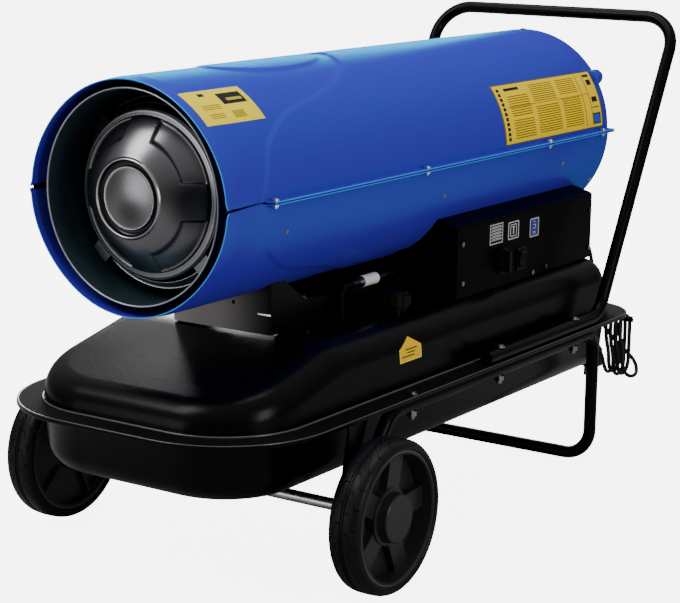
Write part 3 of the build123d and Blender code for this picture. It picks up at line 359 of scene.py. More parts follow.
def barrel_face(angle, y):
    """Radius of the barrel's outer face at an angle above its right side, and a distance behind the rim."""
    lean = np.abs(angle - 90)
    slope = (field_edge(lean + 0.5) - field_edge(lean - 0.5)) / math.radians(shell_radius)
    field = pressed((y - field_edge(lean)) / np.sqrt(1 + slope ** 2))
    offset_x = shell_radius * np.sin(np.radians(lean))
    pad_share = np.hypot(offset_x / pad_half_width, (y - pad_y) / pad_half_length)
    pad = pressed((1 - pad_share) * pad_half_width)
    taper = np.interp(y, (0, rim_taper), (rim_radius - shell_radius, 0))
    curl = -curl_drop * np.clip((y - barrel_length + curl_length) / curl_length, 0, 1) ** 2
    bulge = rim_bulge * np.cos(np.radians(angle)) ** 6 * pressed_share(1 - y / flange_front)
    return shell_radius + taper + curl + bulge + pressing_depth * np.maximum(field, pad)


def half_barrel(across, along):
    """A half shell's outer face. Towards the rim the seam opens as a wedge and its corner flares out."""
    y = np.interp(along, row_shares, row_ys)
    seam = np.where(y < flange_front, np.interp(y, (0, flange_front), (wedge_front, wedge_rear)), sheet)
    start = np.degrees(np.arcsin(seam / barrel_face(np.zeros_like(y), y)))
    angle = start + (180 - 2 * start) * across
    beside_seam = shell_radius * np.radians(np.minimum(angle, 180 - angle))
    flare = corner_flare * pressed_share(1 - beside_seam / flare_width) * pressed_share(1 - y / flare_length)
    radius = barrel_face(angle, y) + flare
    return radius * np.cos(np.radians(angle)), y, barrel_z + radius * np.sin(np.radians(angle))


def seam_lap(across, along):
    """The strip behind the right seam's front part, which keeps the wedge closed."""
    y = lap_setback + (flange_front - 2 * lap_setback) * along
    up = lap_height * (across - 0.5)
    radius = barrel_face(np.zeros_like(y), y) - sheet - lap_gap
    return np.sqrt(radius ** 2 - up ** 2), y, barrel_z + up


def add_flanges(shell):
    """Folds the lower edges out to flat flanges behind the front corner."""
    seam_z = (barrel_z + sheet) / 1000
    for side in (1, -1):
        select_only(shell)
        bpy.ops.object.mode_set(mode="EDIT")
        bpy.ops.mesh.select_mode(type="EDGE")
        bpy.ops.mesh.select_all(action="DESELECT")
        bpy.ops.object.mode_set(mode="OBJECT")
        corners = shell.data.vertices
        for edge in shell.data.edges:
            ends = [corners[index].co for index in edge.vertices]
            edge.select = all(abs(end.z - seam_z) < 1e-5 and end.x * side > 0 for end in ends)
        bpy.ops.object.mode_set(mode="EDIT")
        bpy.ops.mesh.extrude_region_move(
            TRANSFORM_OT_translate={"value": (side * flange_reach / 1000, 0, 0)})
        bpy.ops.object.mode_set(mode="OBJECT")
    for corner in shell.data.vertices:
        behind_front = corner.co.y - outlet_y - flange_front / 1000
        widest = shell_radius / 1000 + sheet / 1000 + behind_front * flange_reach / flange_corner
        if behind_front > -0.001 and abs(corner.co.x) > max(widest, flange_root_x / 1000):
            corner.co.x = math.copysign(widest, corner.co.x)


def tinted_gloss(material, tint, share, roughness):
    """Lays a gloss of the paint's own tint over a coloured finish."""
    tree = material.node_tree
    gloss = tree.nodes.new("ShaderNodeBsdfGlossy")
    gloss.inputs["Color"].default_value = (*tint, 1)
    gloss.inputs["Roughness"].default_value = roughness
    mixed = tree.nodes.new("ShaderNodeMixShader")
    mixed.inputs["Fac"].default_value = share
    tree.links.new(tree.nodes["Principled BSDF"].outputs["BSDF"], mixed.inputs[1])
    tree.links.new(gloss.outputs["BSDF"], mixed.inputs[2])
    tree.links.new(mixed.outputs["Shader"], tree.nodes["Material Output"].inputs["Surface"])


def sum_step(tree, operation, *values):
    """One step of a sum over the surface. Each value is a number or what another step puts out."""
    step = tree.nodes.new("ShaderNodeMath")
    step.operation = operation
    for socket, value in zip(step.inputs, values):
        feed(tree, socket, value)
    return step.outputs[0]


def surface_place(tree):
    """Where each point of the surface lies on the heater, as X, Y and Z."""
    split = tree.nodes.new("ShaderNodeSeparateXYZ")
    tree.links.new(tree.nodes.new("ShaderNodeTexCoord").outputs["Object"], split.inputs["Vector"])
    return split.outputs


def lay_over(material, mask, tint, around=False):
    """Lays a tint over a finish where the mask says so, or everywhere else."""
    tree = material.node_tree
    base = tree.nodes["Principled BSDF"].inputs["Base Color"]
    over, under = ("A", "B") if around else ("B", "A")
    cover = tree.nodes.new("ShaderNodeMix")
    cover.data_type = "RGBA"
    cover.inputs[over].default_value = (*tint, 1)
    tree.links.new(base.links[0].from_socket, cover.inputs[under])
    tree.links.new(mask, cover.inputs["Factor"])
    tree.links.new(cover.outputs["Result"], base)


def paint_edge_highlight(material, highlight_tint, reach, tip_x):
    """Paints a highlight: a lighter tint along the very front edge and the tips of the flanges."""
    tree = material.node_tree
    place = surface_place(tree)
    edge = graded(tree, place["Y"], outlet_y + reach, outlet_y + reach / 2)
    tip = sum_step(tree, "GREATER_THAN", sum_step(tree, "ABSOLUTE", place["X"]), tip_x / 1000)
    lay_over(material, sum_step(tree, "MAXIMUM", edge, tip), highlight_tint)


barrel_paint = finish("barrel_paint", (0.038, 0.018, 0.38), (0.044, 0.021, 0.42), (0.30, 0.36),
                      clouds=5, grains=1100, relief=0.000006, Specular_IOR_Level=0.0)
highlight_front, highlight_tip = 0.001, shell_radius + flange_reach - 0.25
# Painted highlight: a light cyan tint along the rim's front edge and the flanges' tips.
paint_edge_highlight(barrel_paint, (0.05, 0.24, 0.8), highlight_front, highlight_tip)
tinted_gloss(barrel_paint, tint=(0.0, 0.75, 1.0), share=0.1, roughness=0.3)
# Painted shade: the lap strips behind the seams' front parts are near black, standing in for the shade in the
# open wedge.
lap_shade_black = finish("lap_shade_black", (0.003, 0.003, 0.006), (0.005, 0.005, 0.01), (0.5, 0.6), clouds=20,
                    grains=1500, relief=0.00002, Specular_IOR_Level=0.1)
for shell_name, side in (("upper_shell", 1), ("lower_shell", -1)):
    shell = formed_sheet(shell_name + "_sheet", 128, 240, half_barrel)
    if side < 0:
        shell.data.materials.append(barrel_paint)
        shell.data.materials.append(lap_shade_black)
    add_flanges(shell)
    if side < 0:
        for corner in shell.data.vertices:
            corner.co.z = 2 * barrel_z / 1000 - corner.co.z
    close_seams(shell)
    add_thickness(shell, sheet)
    if side < 0:
        laps = [formed_sheet("seam_lap", 4, 24, seam_lap) for _ in range(2)]
        for corner in laps[1].data.vertices:
            corner.co.x = -corner.co.x
        laps[1].data.flip_normals()
        # The laps take the near-black painted shade.
        for lap in laps:
            add_thickness(lap, lap_sheet)
            lap.data.materials.append(None)
            lap.data.materials.append(lap_shade_black)
            for face in lap.data.polygons:
                face.material_index = 1
        select_only(shell)
        for lap in laps:
            lap.select_set(True)
        bpy.ops.object.join()
    soften(shell, 0.35, angle=50)
    if side < 0:
        shell.data.materials[0] = barrel_paint
    else:
        shell.data.materials.append(barrel_paint)
    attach(shell, "chassis")
    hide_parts(shell_name)

# ---- Lead-in arch at the rear ---------------------------------------------------------------------
# A small half-round pressing at the rear edge of the upper shell, on the control side. It is taken to
# be pressed from the shell's own sheet, and has its paint.

arch_angle, arch_radius, arch_length = 33, 12, 20
select_only()
bpy.ops.mesh.primitive_cylinder_add(vertices=48, radius=arch_radius / 1000, depth=arch_length / 1000)
arch = bpy.context.object
arch.name = "rear_arch"
soften(arch, 2.0, angle=50, segments=4)
for corner in arch.data.vertices:
    outward, aside, depth = corner.co.x, corner.co.y, corner.co.z
    lifted = shell_radius / 1000 + max(outward, -sheet / 1000)
    slant = math.radians(arch_angle)
    corner.co = behind_rim(0, barrel_length - arch_length / 2, barrel_z) + Vector((
        lifted * math.cos(slant) - aside * math.sin(slant), depth,
        lifted * math.sin(slant) + aside * math.cos(slant)))
close_seams(arch)
arch.data.materials.append(barrel_paint)
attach(arch, "chassis")

# ---- Stickers on the barrel -----------------------------------------------------------------------
# Two yellow vinyl stickers with ruled lines and plain blocks in place of words. They are rolled on over
# the paint, the small one behind the rim and the large one at the rear on the control side.


def ruled_group():
    """Ruled lines inside a box of a sticker, whose own map runs from 0 to 1 both ways."""
    group, given, result = new_group("ruled_lines", ("Left", "Right", "Low", "High", "Lines", "Share"),
                                     ("Mask",))
    sticker_map = group.nodes.new("ShaderNodeUVMap")
    sticker_map.uv_map = "UVMap"
    split = group.nodes.new("ShaderNodeSeparateXYZ")
    group.links.new(sticker_map.outputs["UV"], split.inputs["Vector"])
    across, up = split.outputs["X"], split.outputs["Y"]
    left, right, low, high, lines, share = given.outputs[:6]
    inside = sum_step(group, "GREATER_THAN", across, left)
    for bound in (("LESS_THAN", across, right), ("GREATER_THAN", up, low), ("LESS_THAN", up, high)):
        inside = sum_step(group, "MULTIPLY", inside, sum_step(group, *bound))
    height = sum_step(group, "SUBTRACT", high, low)
    row = sum_step(group, "DIVIDE", sum_step(group, "SUBTRACT", up, low), height)
    row = sum_step(group, "FRACT", sum_step(group, "MULTIPLY", row, lines))
    line = sum_step(group, "LESS_THAN", row, share)
    group.links.new(sum_step(group, "MULTIPLY", inside, line), result.inputs["Mask"])
    return group


ruled = ruled_group()


def sticker_finish(name, dark, light, prints):
    """Vinyl with blocks, each given as left, right, low and high, and a ruled one's lines and share."""
    material = finish(name, dark, light, (0.36, 0.44), clouds=12, grains=1500, relief=0.00001,
                      Specular_IOR_Level=0.1)
    tree = material.node_tree
    for ink, blocks in prints:
        mask = 0.0
        for block in blocks:
            lines = tree.nodes.new("ShaderNodeGroup")
            lines.node_tree = ruled
            for socket, value in zip(lines.inputs, (*block, 1, 1)):
                socket.default_value = value
            mask = sum_step(tree, "MAXIMUM", mask, lines.outputs["Mask"])
        lay_over(material, mask, ink)
    return material


def border(left, low, side, rail, open_x=0.0, open_z=0.0):
    """Four plain blocks as an even border of a sticker, with its corners left open where asked."""
    right, high = 1 - left, 1 - low
    rails = [(left + open_x, right - open_x, at, at + rail) for at in (low, high - rail)]
    return rails + [(at, at + side, low + open_z, high - open_z) for at in (left, right - side)]


ink_black, ink_brown, ink_blue = (0.010, 0.010, 0.012), (0.14, 0.09, 0.008), (0.03, 0.07, 0.55)
ink_ochre = (0.5, 0.38, 0.03)
small_print = sticker_finish("small_sticker", (0.82, 0.64, 0.022), (0.9, 0.71, 0.028), [
    (ink_brown, [(0.14, 0.44, 0.40, 0.56, 3, 0.4), (0.16, 0.40, 0.16, 0.30, 3, 0.4)]),
    (ink_black, [(0.24, 0.34, 0.80, 0.90), (0.52, 0.92, 0.50, 0.84), (0.54, 0.74, 0.12, 0.32, 8, 0.5)]),
    (ink_ochre, [(0.62, 0.88, 0.60, 0.68)])])
large_print = sticker_finish("large_sticker", (0.90, 0.60, 0.010), (0.96, 0.66, 0.012), [
    (ink_brown, [
        *border(0, 0, 0.008, 0.016),
        (0.10, 0.30, 0.44, 0.80, 9, 0.4), (0.10, 0.30, 0.08, 0.40, 8, 0.4),
        (0.34, 0.57, 0.62, 0.94, 9, 0.4), (0.34, 0.57, 0.10, 0.56, 12, 0.4),
        (0.61, 0.80, 0.66, 0.94, 8, 0.4), (0.61, 0.80, 0.10, 0.60, 13, 0.4),
        (0.08, 0.90, 0.585, 0.595), (0.825, 0.831, 0.05, 0.95), (0.892, 0.898, 0.05, 0.95)]),
    (ink_black, [
        (0.03, 0.055, 0.06, 0.95, 11, 0.7), (0.10, 0.24, 0.87, 0.92), (0.91, 0.97, 0.89, 0.94),
        (0.92, 0.965, 0.74, 0.84), (0.915, 0.97, 0.44, 0.53), (0.905, 0.975, 0.34, 0.355),
        (0.90, 0.98, 0.06, 0.25)]),
    (ink_blue, [(0.908, 0.972, 0.08, 0.23)])])
sticker_gap, sticker_sheet = 0.05, 0.2
for name, angles, ys, material in (
        ("small_sticker", (40, 62.3), (15, 131), small_print),
        ("large_sticker", (2.6, 37.5), (672, 982), large_print)):

    def rolled_on(across, along):
        y = ys[0] + (ys[1] - ys[0]) * across
        angle = angles[0] + (angles[1] - angles[0]) * along
        radius = barrel_face(angle, y) + sticker_gap + sticker_sheet
        return radius * np.cos(np.radians(angle)), y, barrel_z + radius * np.sin(np.radians(angle))

    sticker = formed_sheet(name, 60, 30, rolled_on)
    close_seams(sticker)
    add_thickness(sticker, sticker_sheet)
    bpy.ops.object.shade_smooth_by_angle(angle=math.radians(35))
    sticker.data.materials.append(material)
    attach(sticker, "chassis")

# ---- Screws of the barrel -------------------------------------------------------------------------
# Zinc-plated pan head screws with nuts along the flanges, and self-tapping screws round the shells and
# in the control panel. The same plating is on the axle, the chamber's brackets and the drain plug.

zinc = finish("zinc", (0.55, 0.55, 0.53), (0.75, 0.75, 0.73), (0.2, 0.38), clouds=120, grains=3000,
              relief=0.00002, Metallic=1.0)
dark_zinc = finish("dark_zinc", (0.16, 0.16, 0.15), (0.28, 0.28, 0.27), (0.14, 0.24), clouds=160,
                   grains=3000, relief=0.00002, Metallic=1.0)
dress(zinc, "shell_flange_screws", "axle", "axle_washers", "split_pins", "chamber_brackets", "drain_plug")
dress(dark_zinc, "shell_side_screws", "panel_screws", "rail_bolts", "rail_nuts")

# ---- Combustion chamber and flame ring ------------------------------------------------------------
# The chamber is a drum of heat-resistant sheet with a bright rolled edge at the outlet. The flame ring stands
# inside it on spacers and carries the deflector disc. The drum goes darker with the depth behind its edge,
# and painted shade darkens the flame ring all round but for its lower left part.


def spun(name, section, steps=144):
    """A closed section of (radius, y behind the rim) points spun once about the barrel's axis."""
    select_only()
    bpy.ops.mesh.primitive_circle_add(vertices=len(section))
    piece = bpy.context.object
    piece.name = name
    for corner, (radius, y) in zip(piece.data.vertices, section):
        corner.co = behind_rim(radius, y, barrel_z)
    bpy.ops.object.mode_set(mode="EDIT")
    bpy.ops.mesh.select_all(action="SELECT")
    bpy.ops.mesh.spin(steps=steps, angle=2 * math.pi, center=behind_rim(0, 0, barrel_z), axis=(0, 1, 0))
    bpy.ops.object.mode_set(mode="OBJECT")
    close_seams(piece)
    return piece


drum_radius, drum_front, drum_rear, burner_radius = 133.5, 9, 500, 60
bead_radius = 1.2
bead_arc = [(drum_radius + bead_radius * math.cos(math.radians(angle)),
             drum_front + bead_radius * math.sin(math.radians(angle))) for angle in range(40, -221, -20)]
drum = spun("chamber_drum", [
    *bead_arc, (drum_radius - sheet, drum_front + 4), (drum_radius - sheet, 250),
    (drum_radius - sheet, drum_rear - 31), (drum_radius - 31, drum_rear - sheet),
    (burner_radius, drum_rear - sheet), (burner_radius, drum_rear), (drum_radius - 30, drum_rear),
    (drum_radius, drum_rear - 30), (drum_radius, 250), (drum_radius, drum_front + 4)])
bpy.ops.object.shade_smooth_by_angle(angle=math.radians(50))


bright_end, deep_end = 8.5, 200


def depth_graded_steel(name, cool, deep, bright):
    """Steel sheet that goes darker with the distance behind the outlet's bright edge."""
    material = finish(name, cool, cool, (0.34, 0.5), clouds=14, grains=1200, relief=0.00003, Metallic=0.8)
    tree = material.node_tree
    tint = tree.nodes.new("ShaderNodeValToRGB")
    tint.color_ramp.elements[0].color = (*bright, 1)
    tint.color_ramp.elements[1].color = (*deep, 1)
    for position, colour in ((0.004, bright), (0.012, cool)):
        tint.color_ramp.elements.new(position).color = (*colour, 1)
    depth = graded(tree, surface_place(tree)["Y"], outlet_y + bright_end / 1000, outlet_y + deep_end / 1000)
    tree.links.new(depth, tint.inputs["Fac"])
    tree.links.new(tint.outputs["Color"], tree.nodes["colour"].inputs["A"])
    return material


def patch_group():
    """A round patch with a soft edge about a place on the heater."""
    group, given, result = new_group("soft_patch", ("Place", "Full", "Gone", "Share"), ("Mask",))
    here = group.nodes.new("ShaderNodeTexCoord")
    away = group.nodes.new("ShaderNodeVectorMath")
    away.operation = "DISTANCE"
    group.links.new(here.outputs["Object"], away.inputs[0])
    group.links.new(given.outputs["Place"], away.inputs[1])
    mask = graded(group, away.outputs["Value"], given.outputs["Gone"], given.outputs["Full"], 0,
                  given.outputs["Share"], soft=True)
    group.links.new(mask, result.inputs["Mask"])
    return group


soft_patch = patch_group()


def paint_shade_patch(material, place, full, gone, share, tint, around=False):
    """Lays painted shade, a dark tint, over a round patch of a finish, or over all but the patch."""
    spot = material.node_tree.nodes.new("ShaderNodeGroup")
    spot.node_tree = soft_patch
    for name, value in (("Place", place), ("Full", full / 1000), ("Gone", gone / 1000), ("Share", share)):
        spot.inputs[name].default_value = value
    lay_over(material, spot.outputs["Mask"], tint, around)


drum_steel = depth_graded_steel("drum_steel", (0.035, 0.075, 0.095), (0.012, 0.013, 0.016), (0.6, 0.6, 0.6))
drum.data.materials.append(drum_steel)
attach(drum, "chassis")
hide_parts("combustion_chamber")
ring_steel = finish("ring_steel", (0.16, 0.17, 0.18), (0.3, 0.3, 0.31), (0.25, 0.4), clouds=20,
                    grains=1200, relief=0.00003, Metallic=1.0)
dress(ring_steel, "flame_ring")
bright_steel = finish("bright_steel", (0.55, 0.54, 0.52), (0.7, 0.69, 0.67), (0.2, 0.3), clouds=40,
                      grains=1500, relief=0.00001, Metallic=1.0)
# Painted shade darkens the flame ring and its two edge rings all round but for the lower left part.
for steel in (ring_steel, bright_steel):  # only the lower left part stays bright
    paint_shade_patch(steel, behind_rim(-20, 60, 380), full=100, gone=170, share=1, tint=(0.02, 0.022, 0.024),
            around=True)
for edge_name, edge_radius, edge_y, edge_wire in (("ring_outer_edge", 119.6, 65, 1.3),
                                                  ("ring_inner_edge", 111.4, 58.2, 0.9)):
    select_only()
    bpy.ops.mesh.primitive_torus_add(major_segments=160, minor_segments=14,
                                     major_radius=edge_radius / 1000, minor_radius=edge_wire / 1000)
    edge_ring = bpy.context.object
    edge_ring.name = edge_name
    for corner in edge_ring.data.vertices:
        corner.co = behind_rim(0, edge_y, barrel_z) + Vector((corner.co.x, -corner.co.z, corner.co.y))
    bpy.ops.object.shade_smooth()
    edge_ring.data.materials.append(bright_steel)
    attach(edge_ring, "chassis")

# ---- Deflector disc -------------------------------------------------------------------------------
# A domed disc pressed from stainless sheet: a rolled rim, a cross left standing between four sunk
# petals, and a ring groove round the middle. Four flat tabs join it to the flame ring.

disc_y, disc_radius, disc_sheet = 45, 106, 1.2
disc_radii = (0, 12, 24, 33, 36.4, 37.6, 38.4, 39.0, 39.6, 40.4, 41.5, 44.0, 45.4, 46.2, 46.9, 47.6, 48.3,
              49.0, 49.8, 50.6, 52, 60, 68, 73, 78, 85, 91, 95.4, 96.4, 97.2, 98.0, 99.2, 101, 103.6,
              104.8, 105.6, 106)
cap_height, dome_height, cap_drop, dome_drop = 43, 52.9, 0.0030, 0.0052
groove_shape = ((36.4, 0), (37.6, 0.8), (38.4, 1.0), (39.0, 0.2), (39.6, -2.2), (40.4, -3.6), (41.5, -4.2),
                (44.0, -4.6), (45.4, -4.2), (46.2, -2.8), (46.9, 0.4), (47.6, 1.7), (48.3, 2.2), (49.0, 2.0),
                (49.8, 1.1), (50.6, 0.2), (52, 0))
rim_shape = ((95.4, 0), (96.4, -0.7), (97.2, -1.9), (98.0, -1.5), (99.2, -0.4), (101, 1.1), (103.6, 3.6),
             (104.8, 3.9), (105.6, 4.2), (106, 4.4))
petal_inner, petal_outer, cross_half_width, petal_sink = 73, 95.5, 23, 3.4
groove_walls = (39.6, 46.9)


def disc_rise(radius):
    """Height over the rim's plane: a shallow dome, and inside the ring groove a cap of its own."""
    dome = dome_height - dome_drop * radius ** 2
    cap = cap_height - cap_drop * radius ** 2
    inside = np.interp(radius, groove_walls, (1, 0))
    groove = np.interp(radius, *zip(*groove_shape))
    rim = np.interp(radius, *zip(*rim_shape))
    return dome + (cap - dome) * inside + groove + rim


def edge_blend(distance, width=1.8):
    """A petal's edge, from 0 outside to 1 inside."""
    return pressed_share(distance / width + 0.5)


def disc_face(across, along):
    """The front face: rises over the rim's plane, less the sunk petals."""
    angle = 2 * math.pi * across
    radius = np.interp(along, np.linspace(0, 1, len(disc_radii)), disc_radii)
    rise = disc_rise(radius)
    x, up = radius * np.cos(angle), radius * np.sin(angle)
    beside_cross = np.minimum(np.abs(x), np.abs(up)) - cross_half_width
    petal = edge_blend(radius - petal_inner) * edge_blend(petal_outer - radius) * edge_blend(beside_cross)
    return x, disc_y - rise + petal_sink * petal, barrel_z + up


disc = formed_sheet("deflector_disc_pressing", 360, 3 * (len(disc_radii) - 1), disc_face)
close_seams(disc)
if sum(face.normal.y for face in disc.data.polygons) > 0:
    disc.data.flip_normals()
add_thickness(disc, disc_sheet)
bpy.ops.object.shade_smooth_by_angle(angle=math.radians(50))


def shade_and_highlight_bands(material, axis_z, bands):
    """Multiplies a finish by grey bands set by the distance from the outlet's axis: painted shade where a
    band is dark, painted highlight where it is light.
    """
    tree = material.node_tree
    away = tree.nodes.new("ShaderNodeTexCoord").outputs["Object"]
    for operation, value in (("SUBTRACT", (0, 0, axis_z)), ("MULTIPLY", (1, 0, 1)), ("LENGTH", (0, 0, 0))):
        step = tree.nodes.new("ShaderNodeVectorMath")
        step.operation = operation
        step.inputs[1].default_value = value
        tree.links.new(away, step.inputs[0])
        away = step.outputs["Value" if operation == "LENGTH" else "Vector"]
    shades = tree.nodes.new("ShaderNodeValToRGB")
    for index, (radius, grey) in enumerate(bands):
        stop = shades.color_ramp.elements[index] if index < 2 else shades.color_ramp.elements.new(1)
        stop.position = radius / disc_radius
        stop.color = (grey, grey, grey, 1)
    tree.links.new(sum_step(tree, "DIVIDE", away, disc_radius / 1000), shades.inputs["Fac"])
    base = tree.nodes["Principled BSDF"].inputs["Base Color"]
    tinted = tree.nodes.new("ShaderNodeMix")
    tinted.data_type = "RGBA"
    tinted.blend_type = "MULTIPLY"
    tinted.inputs["Factor"].default_value = 1
    tree.links.new(base.links[0].from_socket, tinted.inputs["A"])
    tree.links.new(shades.outputs["Color"], tinted.inputs["B"])
    tree.links.new(tinted.outputs["Result"], base)


pressed_steel = finish("pressed_steel", (0.36, 0.35, 0.37), (0.43, 0.42, 0.44), (0.24, 0.3), clouds=9,
                       grains=1400, relief=0.00001, Metallic=1.0)
# Painted shade darkens the ring groove. Painted highlight lightens the two beads beside it and the outer rim.
shade_and_highlight_bands(pressed_steel, barrel_z / 1000, [
    (0, 0.4), (36.5, 0.4), (37.6, 1), (38.8, 1), (39.8, 0.08), (46.2, 0.08), (47, 1), (49.2, 1), (50.6, 0.4),
    (94, 0.34), (97, 0.5), (106, 0.55)])
# Painted dark reflections on the cross's right arm and at the foot of the middle cap.
right_arm, cap_foot = behind_rim(84, 28, 494), behind_rim(4, 2, 481)
paint_shade_patch(pressed_steel, right_arm, full=12, gone=46, share=0.88, tint=(0.012, 0.014, 0.02))
paint_shade_patch(pressed_steel, cap_foot, full=4, gone=30, share=0.7, tint=(0.02, 0.02, 0.022))
disc.data.materials.append(pressed_steel)
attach(disc, "chassis")
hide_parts("deflector_disc")
tab_steel = finish("tab_steel", (0.1, 0.1, 0.105), (0.14, 0.14, 0.145), (0.3, 0.4), clouds=20, grains=1400,
                   relief=0.00002, Metallic=1.0)
# Painted shade darkens the upper left tab.
upper_left_tab = behind_rim(-94, 60, 591)
paint_shade_patch(tab_steel, upper_left_tab, full=30, gone=60, share=1, tint=(0.004, 0.004, 0.005))
dress(tab_steel, "disc_tabs")

# ---- Burner, fan, motor and guard -----------------------------------------------------------------
# The inner works: a plated burner head, its brass nozzle and ceramic electrodes, an aluminium fan and
# a cast motor with its air pump, all behind a black wire guard at the rear.

cast_metal = finish("cast_metal", (0.33, 0.33, 0.34), (0.45, 0.45, 0.46), (0.45, 0.6), clouds=30, grains=1800,
                    relief=0.00008, Metallic=1.0)
fan_metal = finish("fan_metal", (0.5, 0.51, 0.52), (0.62, 0.63, 0.64), (0.3, 0.42), clouds=20, grains=1600,
                   relief=0.00002, Metallic=1.0)
brass = finish("brass", (0.55, 0.38, 0.14), (0.7, 0.5, 0.2), (0.28, 0.4), clouds=60, grains=2500,
               relief=0.00002, Metallic=1.0)
ceramic = finish("ceramic", (0.7, 0.68, 0.62), (0.78, 0.76, 0.7), (0.25, 0.35), clouds=40, grains=2500,
                 relief=0.00002)
gloss_black = finish("gloss_black", (0.0004, 0.0004, 0.0005), (0.0008, 0.0008, 0.0009), (0.22, 0.28),
                     clouds=7, grains=1300, relief=0.000001, Specular_IOR_Level=0.075)
dress(zinc, "burner_head", "motor_bracket", "motor_shaft")
dress(cast_metal, "motor", "air_pump", "pump_cover")
dress(fan_metal, "fan")
dress(brass, "fuel_nozzle")
dress(ceramic, "ignition_electrodes")
dress(gloss_black, "rear_guard")

# ---- Tank -----------------------------------------------------------------------------------------
# Two drawn steel trays seam-welded along a flange all round, powder coated glossy black. The finishes
# of the filler neck, the fuel cap, the gauge and the fuel filter are set here too.

tank_half_width, tank_front, tank_rear = 190, -13, 962
tank_front_corner, tank_rear_corner, corner_steps = 114, 42, 14
tray_depth, keel_radius, keel_steps, flange_z = 86, 32, 9, 218
wall_lean = math.tan(math.radians(5))
keel_out = -wall_lean * (tray_depth - keel_radius) - keel_radius
keel_z = flange_z - tray_depth + keel_radius
tray_skin = np.array([
    (30, 218.9), (33.4, 219.8), (34.3, 219.8), (34.9, 219.4), (35.1, 218.8), (35.1, 214.4), (34.8, 213.9),
    (34.2, 213.8), (33.8, 214.2), (33.7, 216.0), (33.2, 216.4), (30, 216.5), (3, 216.5), (0.9, 216.1),
    (0, 215.2),
    *[(keel_out + keel_radius * math.cos(angle), keel_z + keel_radius * math.sin(angle))
      for angle in np.radians(np.linspace(-4, -87, keel_steps))],
    (-40, flange_z - tray_depth)])


def plan_line():
    """The tank's plan as places and outward directions, once round from the right front corner."""
    places, outward = [], []
    for side, front_or_rear, radius, start in (
            (1, 0, tank_front_corner, -90), (1, 1, tank_rear_corner, 0),
            (-1, 1, tank_rear_corner, 90), (-1, 0, tank_front_corner, 180)):
        centre_y = tank_rear - radius if front_or_rear else tank_front + radius
        for angle in np.radians(np.linspace(start, start + 90, corner_steps)):
            direction = np.array((math.cos(angle), math.sin(angle)))
            places.append(np.array((side * (tank_half_width - radius), centre_y)) + radius * direction)
            outward.append(direction)
    return np.array(places), np.array(outward)


def round_plan(across, out, z):
    """Places all round the tank, at a distance outside its plan and a height."""
    places, outward = plan_line()
    column = np.rint(across * len(places)).astype(int) % len(places)
    return places[column, 0] + outward[column, 0] * out, places[column, 1] + outward[column, 1] * out, z


def tray_form(across, along):
    """The lower tray's skin, from the lip round the flange down the drafted wall to the flat bottom."""
    return round_plan(across, *tray_skin[np.rint(along * (len(tray_skin) - 1)).astype(int)].T)


tray = formed_sheet("tank_tray", 4 * corner_steps, len(tray_skin) - 1, tray_form)
close_seams(tray)
bpy.ops.object.mode_set(mode="EDIT")
bpy.ops.mesh.select_all(action="DESELECT")
bpy.ops.object.mode_set(mode="OBJECT")
for corner in tray.data.vertices:
    corner.select = corner.co.z < (flange_z - tray_depth) / 1000 + 1e-6
bpy.ops.object.mode_set(mode="EDIT")
bpy.ops.mesh.edge_face_add()
bpy.ops.mesh.select_all(action="SELECT")
bpy.ops.mesh.normals_make_consistent(inside=False)
bpy.ops.object.mode_set(mode="OBJECT")
tray_wall = 0.5
add_thickness(tray, tray_wall)
drain_x, drain_y, drain_top, drain_bottom, drain_foot, drain_face = -60, 700, 134, 118.5, 18, 12
select_only()
bpy.ops.mesh.primitive_cone_add(
    vertices=48, radius1=drain_face / 1000, radius2=drain_foot / 1000,
    depth=(drain_top - drain_bottom) / 1000,
    location=behind_rim(drain_x, drain_y, (drain_top + drain_bottom) / 2))
bpy.ops.object.transform_apply(location=True)
boss = bpy.context.object
select_only(tray)
boss.select_set(True)
bpy.ops.object.join()
bpy.ops.object.shade_smooth_by_angle(angle=math.radians(50))
tray.data.materials.append(gloss_black)
# Painted highlight: a lighter black with a stronger gloss for the flange's outer lip and the root bead.
edge_highlight = finish("edge_highlight", (0.03, 0.03, 0.032), (0.06, 0.06, 0.063), (0.2, 0.28), clouds=20,
                     grains=1500, relief=0.000003, Specular_IOR_Level=0.5)
tray.data.materials.append(edge_highlight)
lip_out, lip_low = 34.2, 217.5


def out_of_plan(place):
    """How far a place lies outside the tank's plan, in mm."""
    y = (place.y - outlet_y) * 1000
    if y < (tank_front + tank_rear) / 2:
        radius, beyond = tank_front_corner, tank_front + tank_front_corner - y
    else:
        radius, beyond = tank_rear_corner, y - tank_rear + tank_rear_corner
    aside = abs(place.x) * 1000 - tank_half_width + radius
    return math.hypot(max(aside, 0), max(beyond, 0)) - radius


# The faces of the lip's outer edge take the painted highlight.
for face in tray.data.polygons:
    face.material_index = int(out_of_plan(face.center) > lip_out and face.center.z > lip_low / 1000)
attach(tray, "chassis")
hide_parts("tank_lower")
root_out, root_z, root_radius, root_sides = 1.3, 220.4, 1.5, 10


def root_form(across, along):
    """The rounded root where the upper tray's wall turns out into the flange."""
    turn = 2 * math.pi * np.rint(along * root_sides) / root_sides
    return round_plan(across, root_out + root_radius * np.cos(turn), root_z + root_radius * np.sin(turn))


root = formed_sheet("tank_root", 4 * corner_steps, root_sides, root_form)
close_seams(root)
bpy.ops.object.shade_smooth_by_angle(angle=math.radians(60))
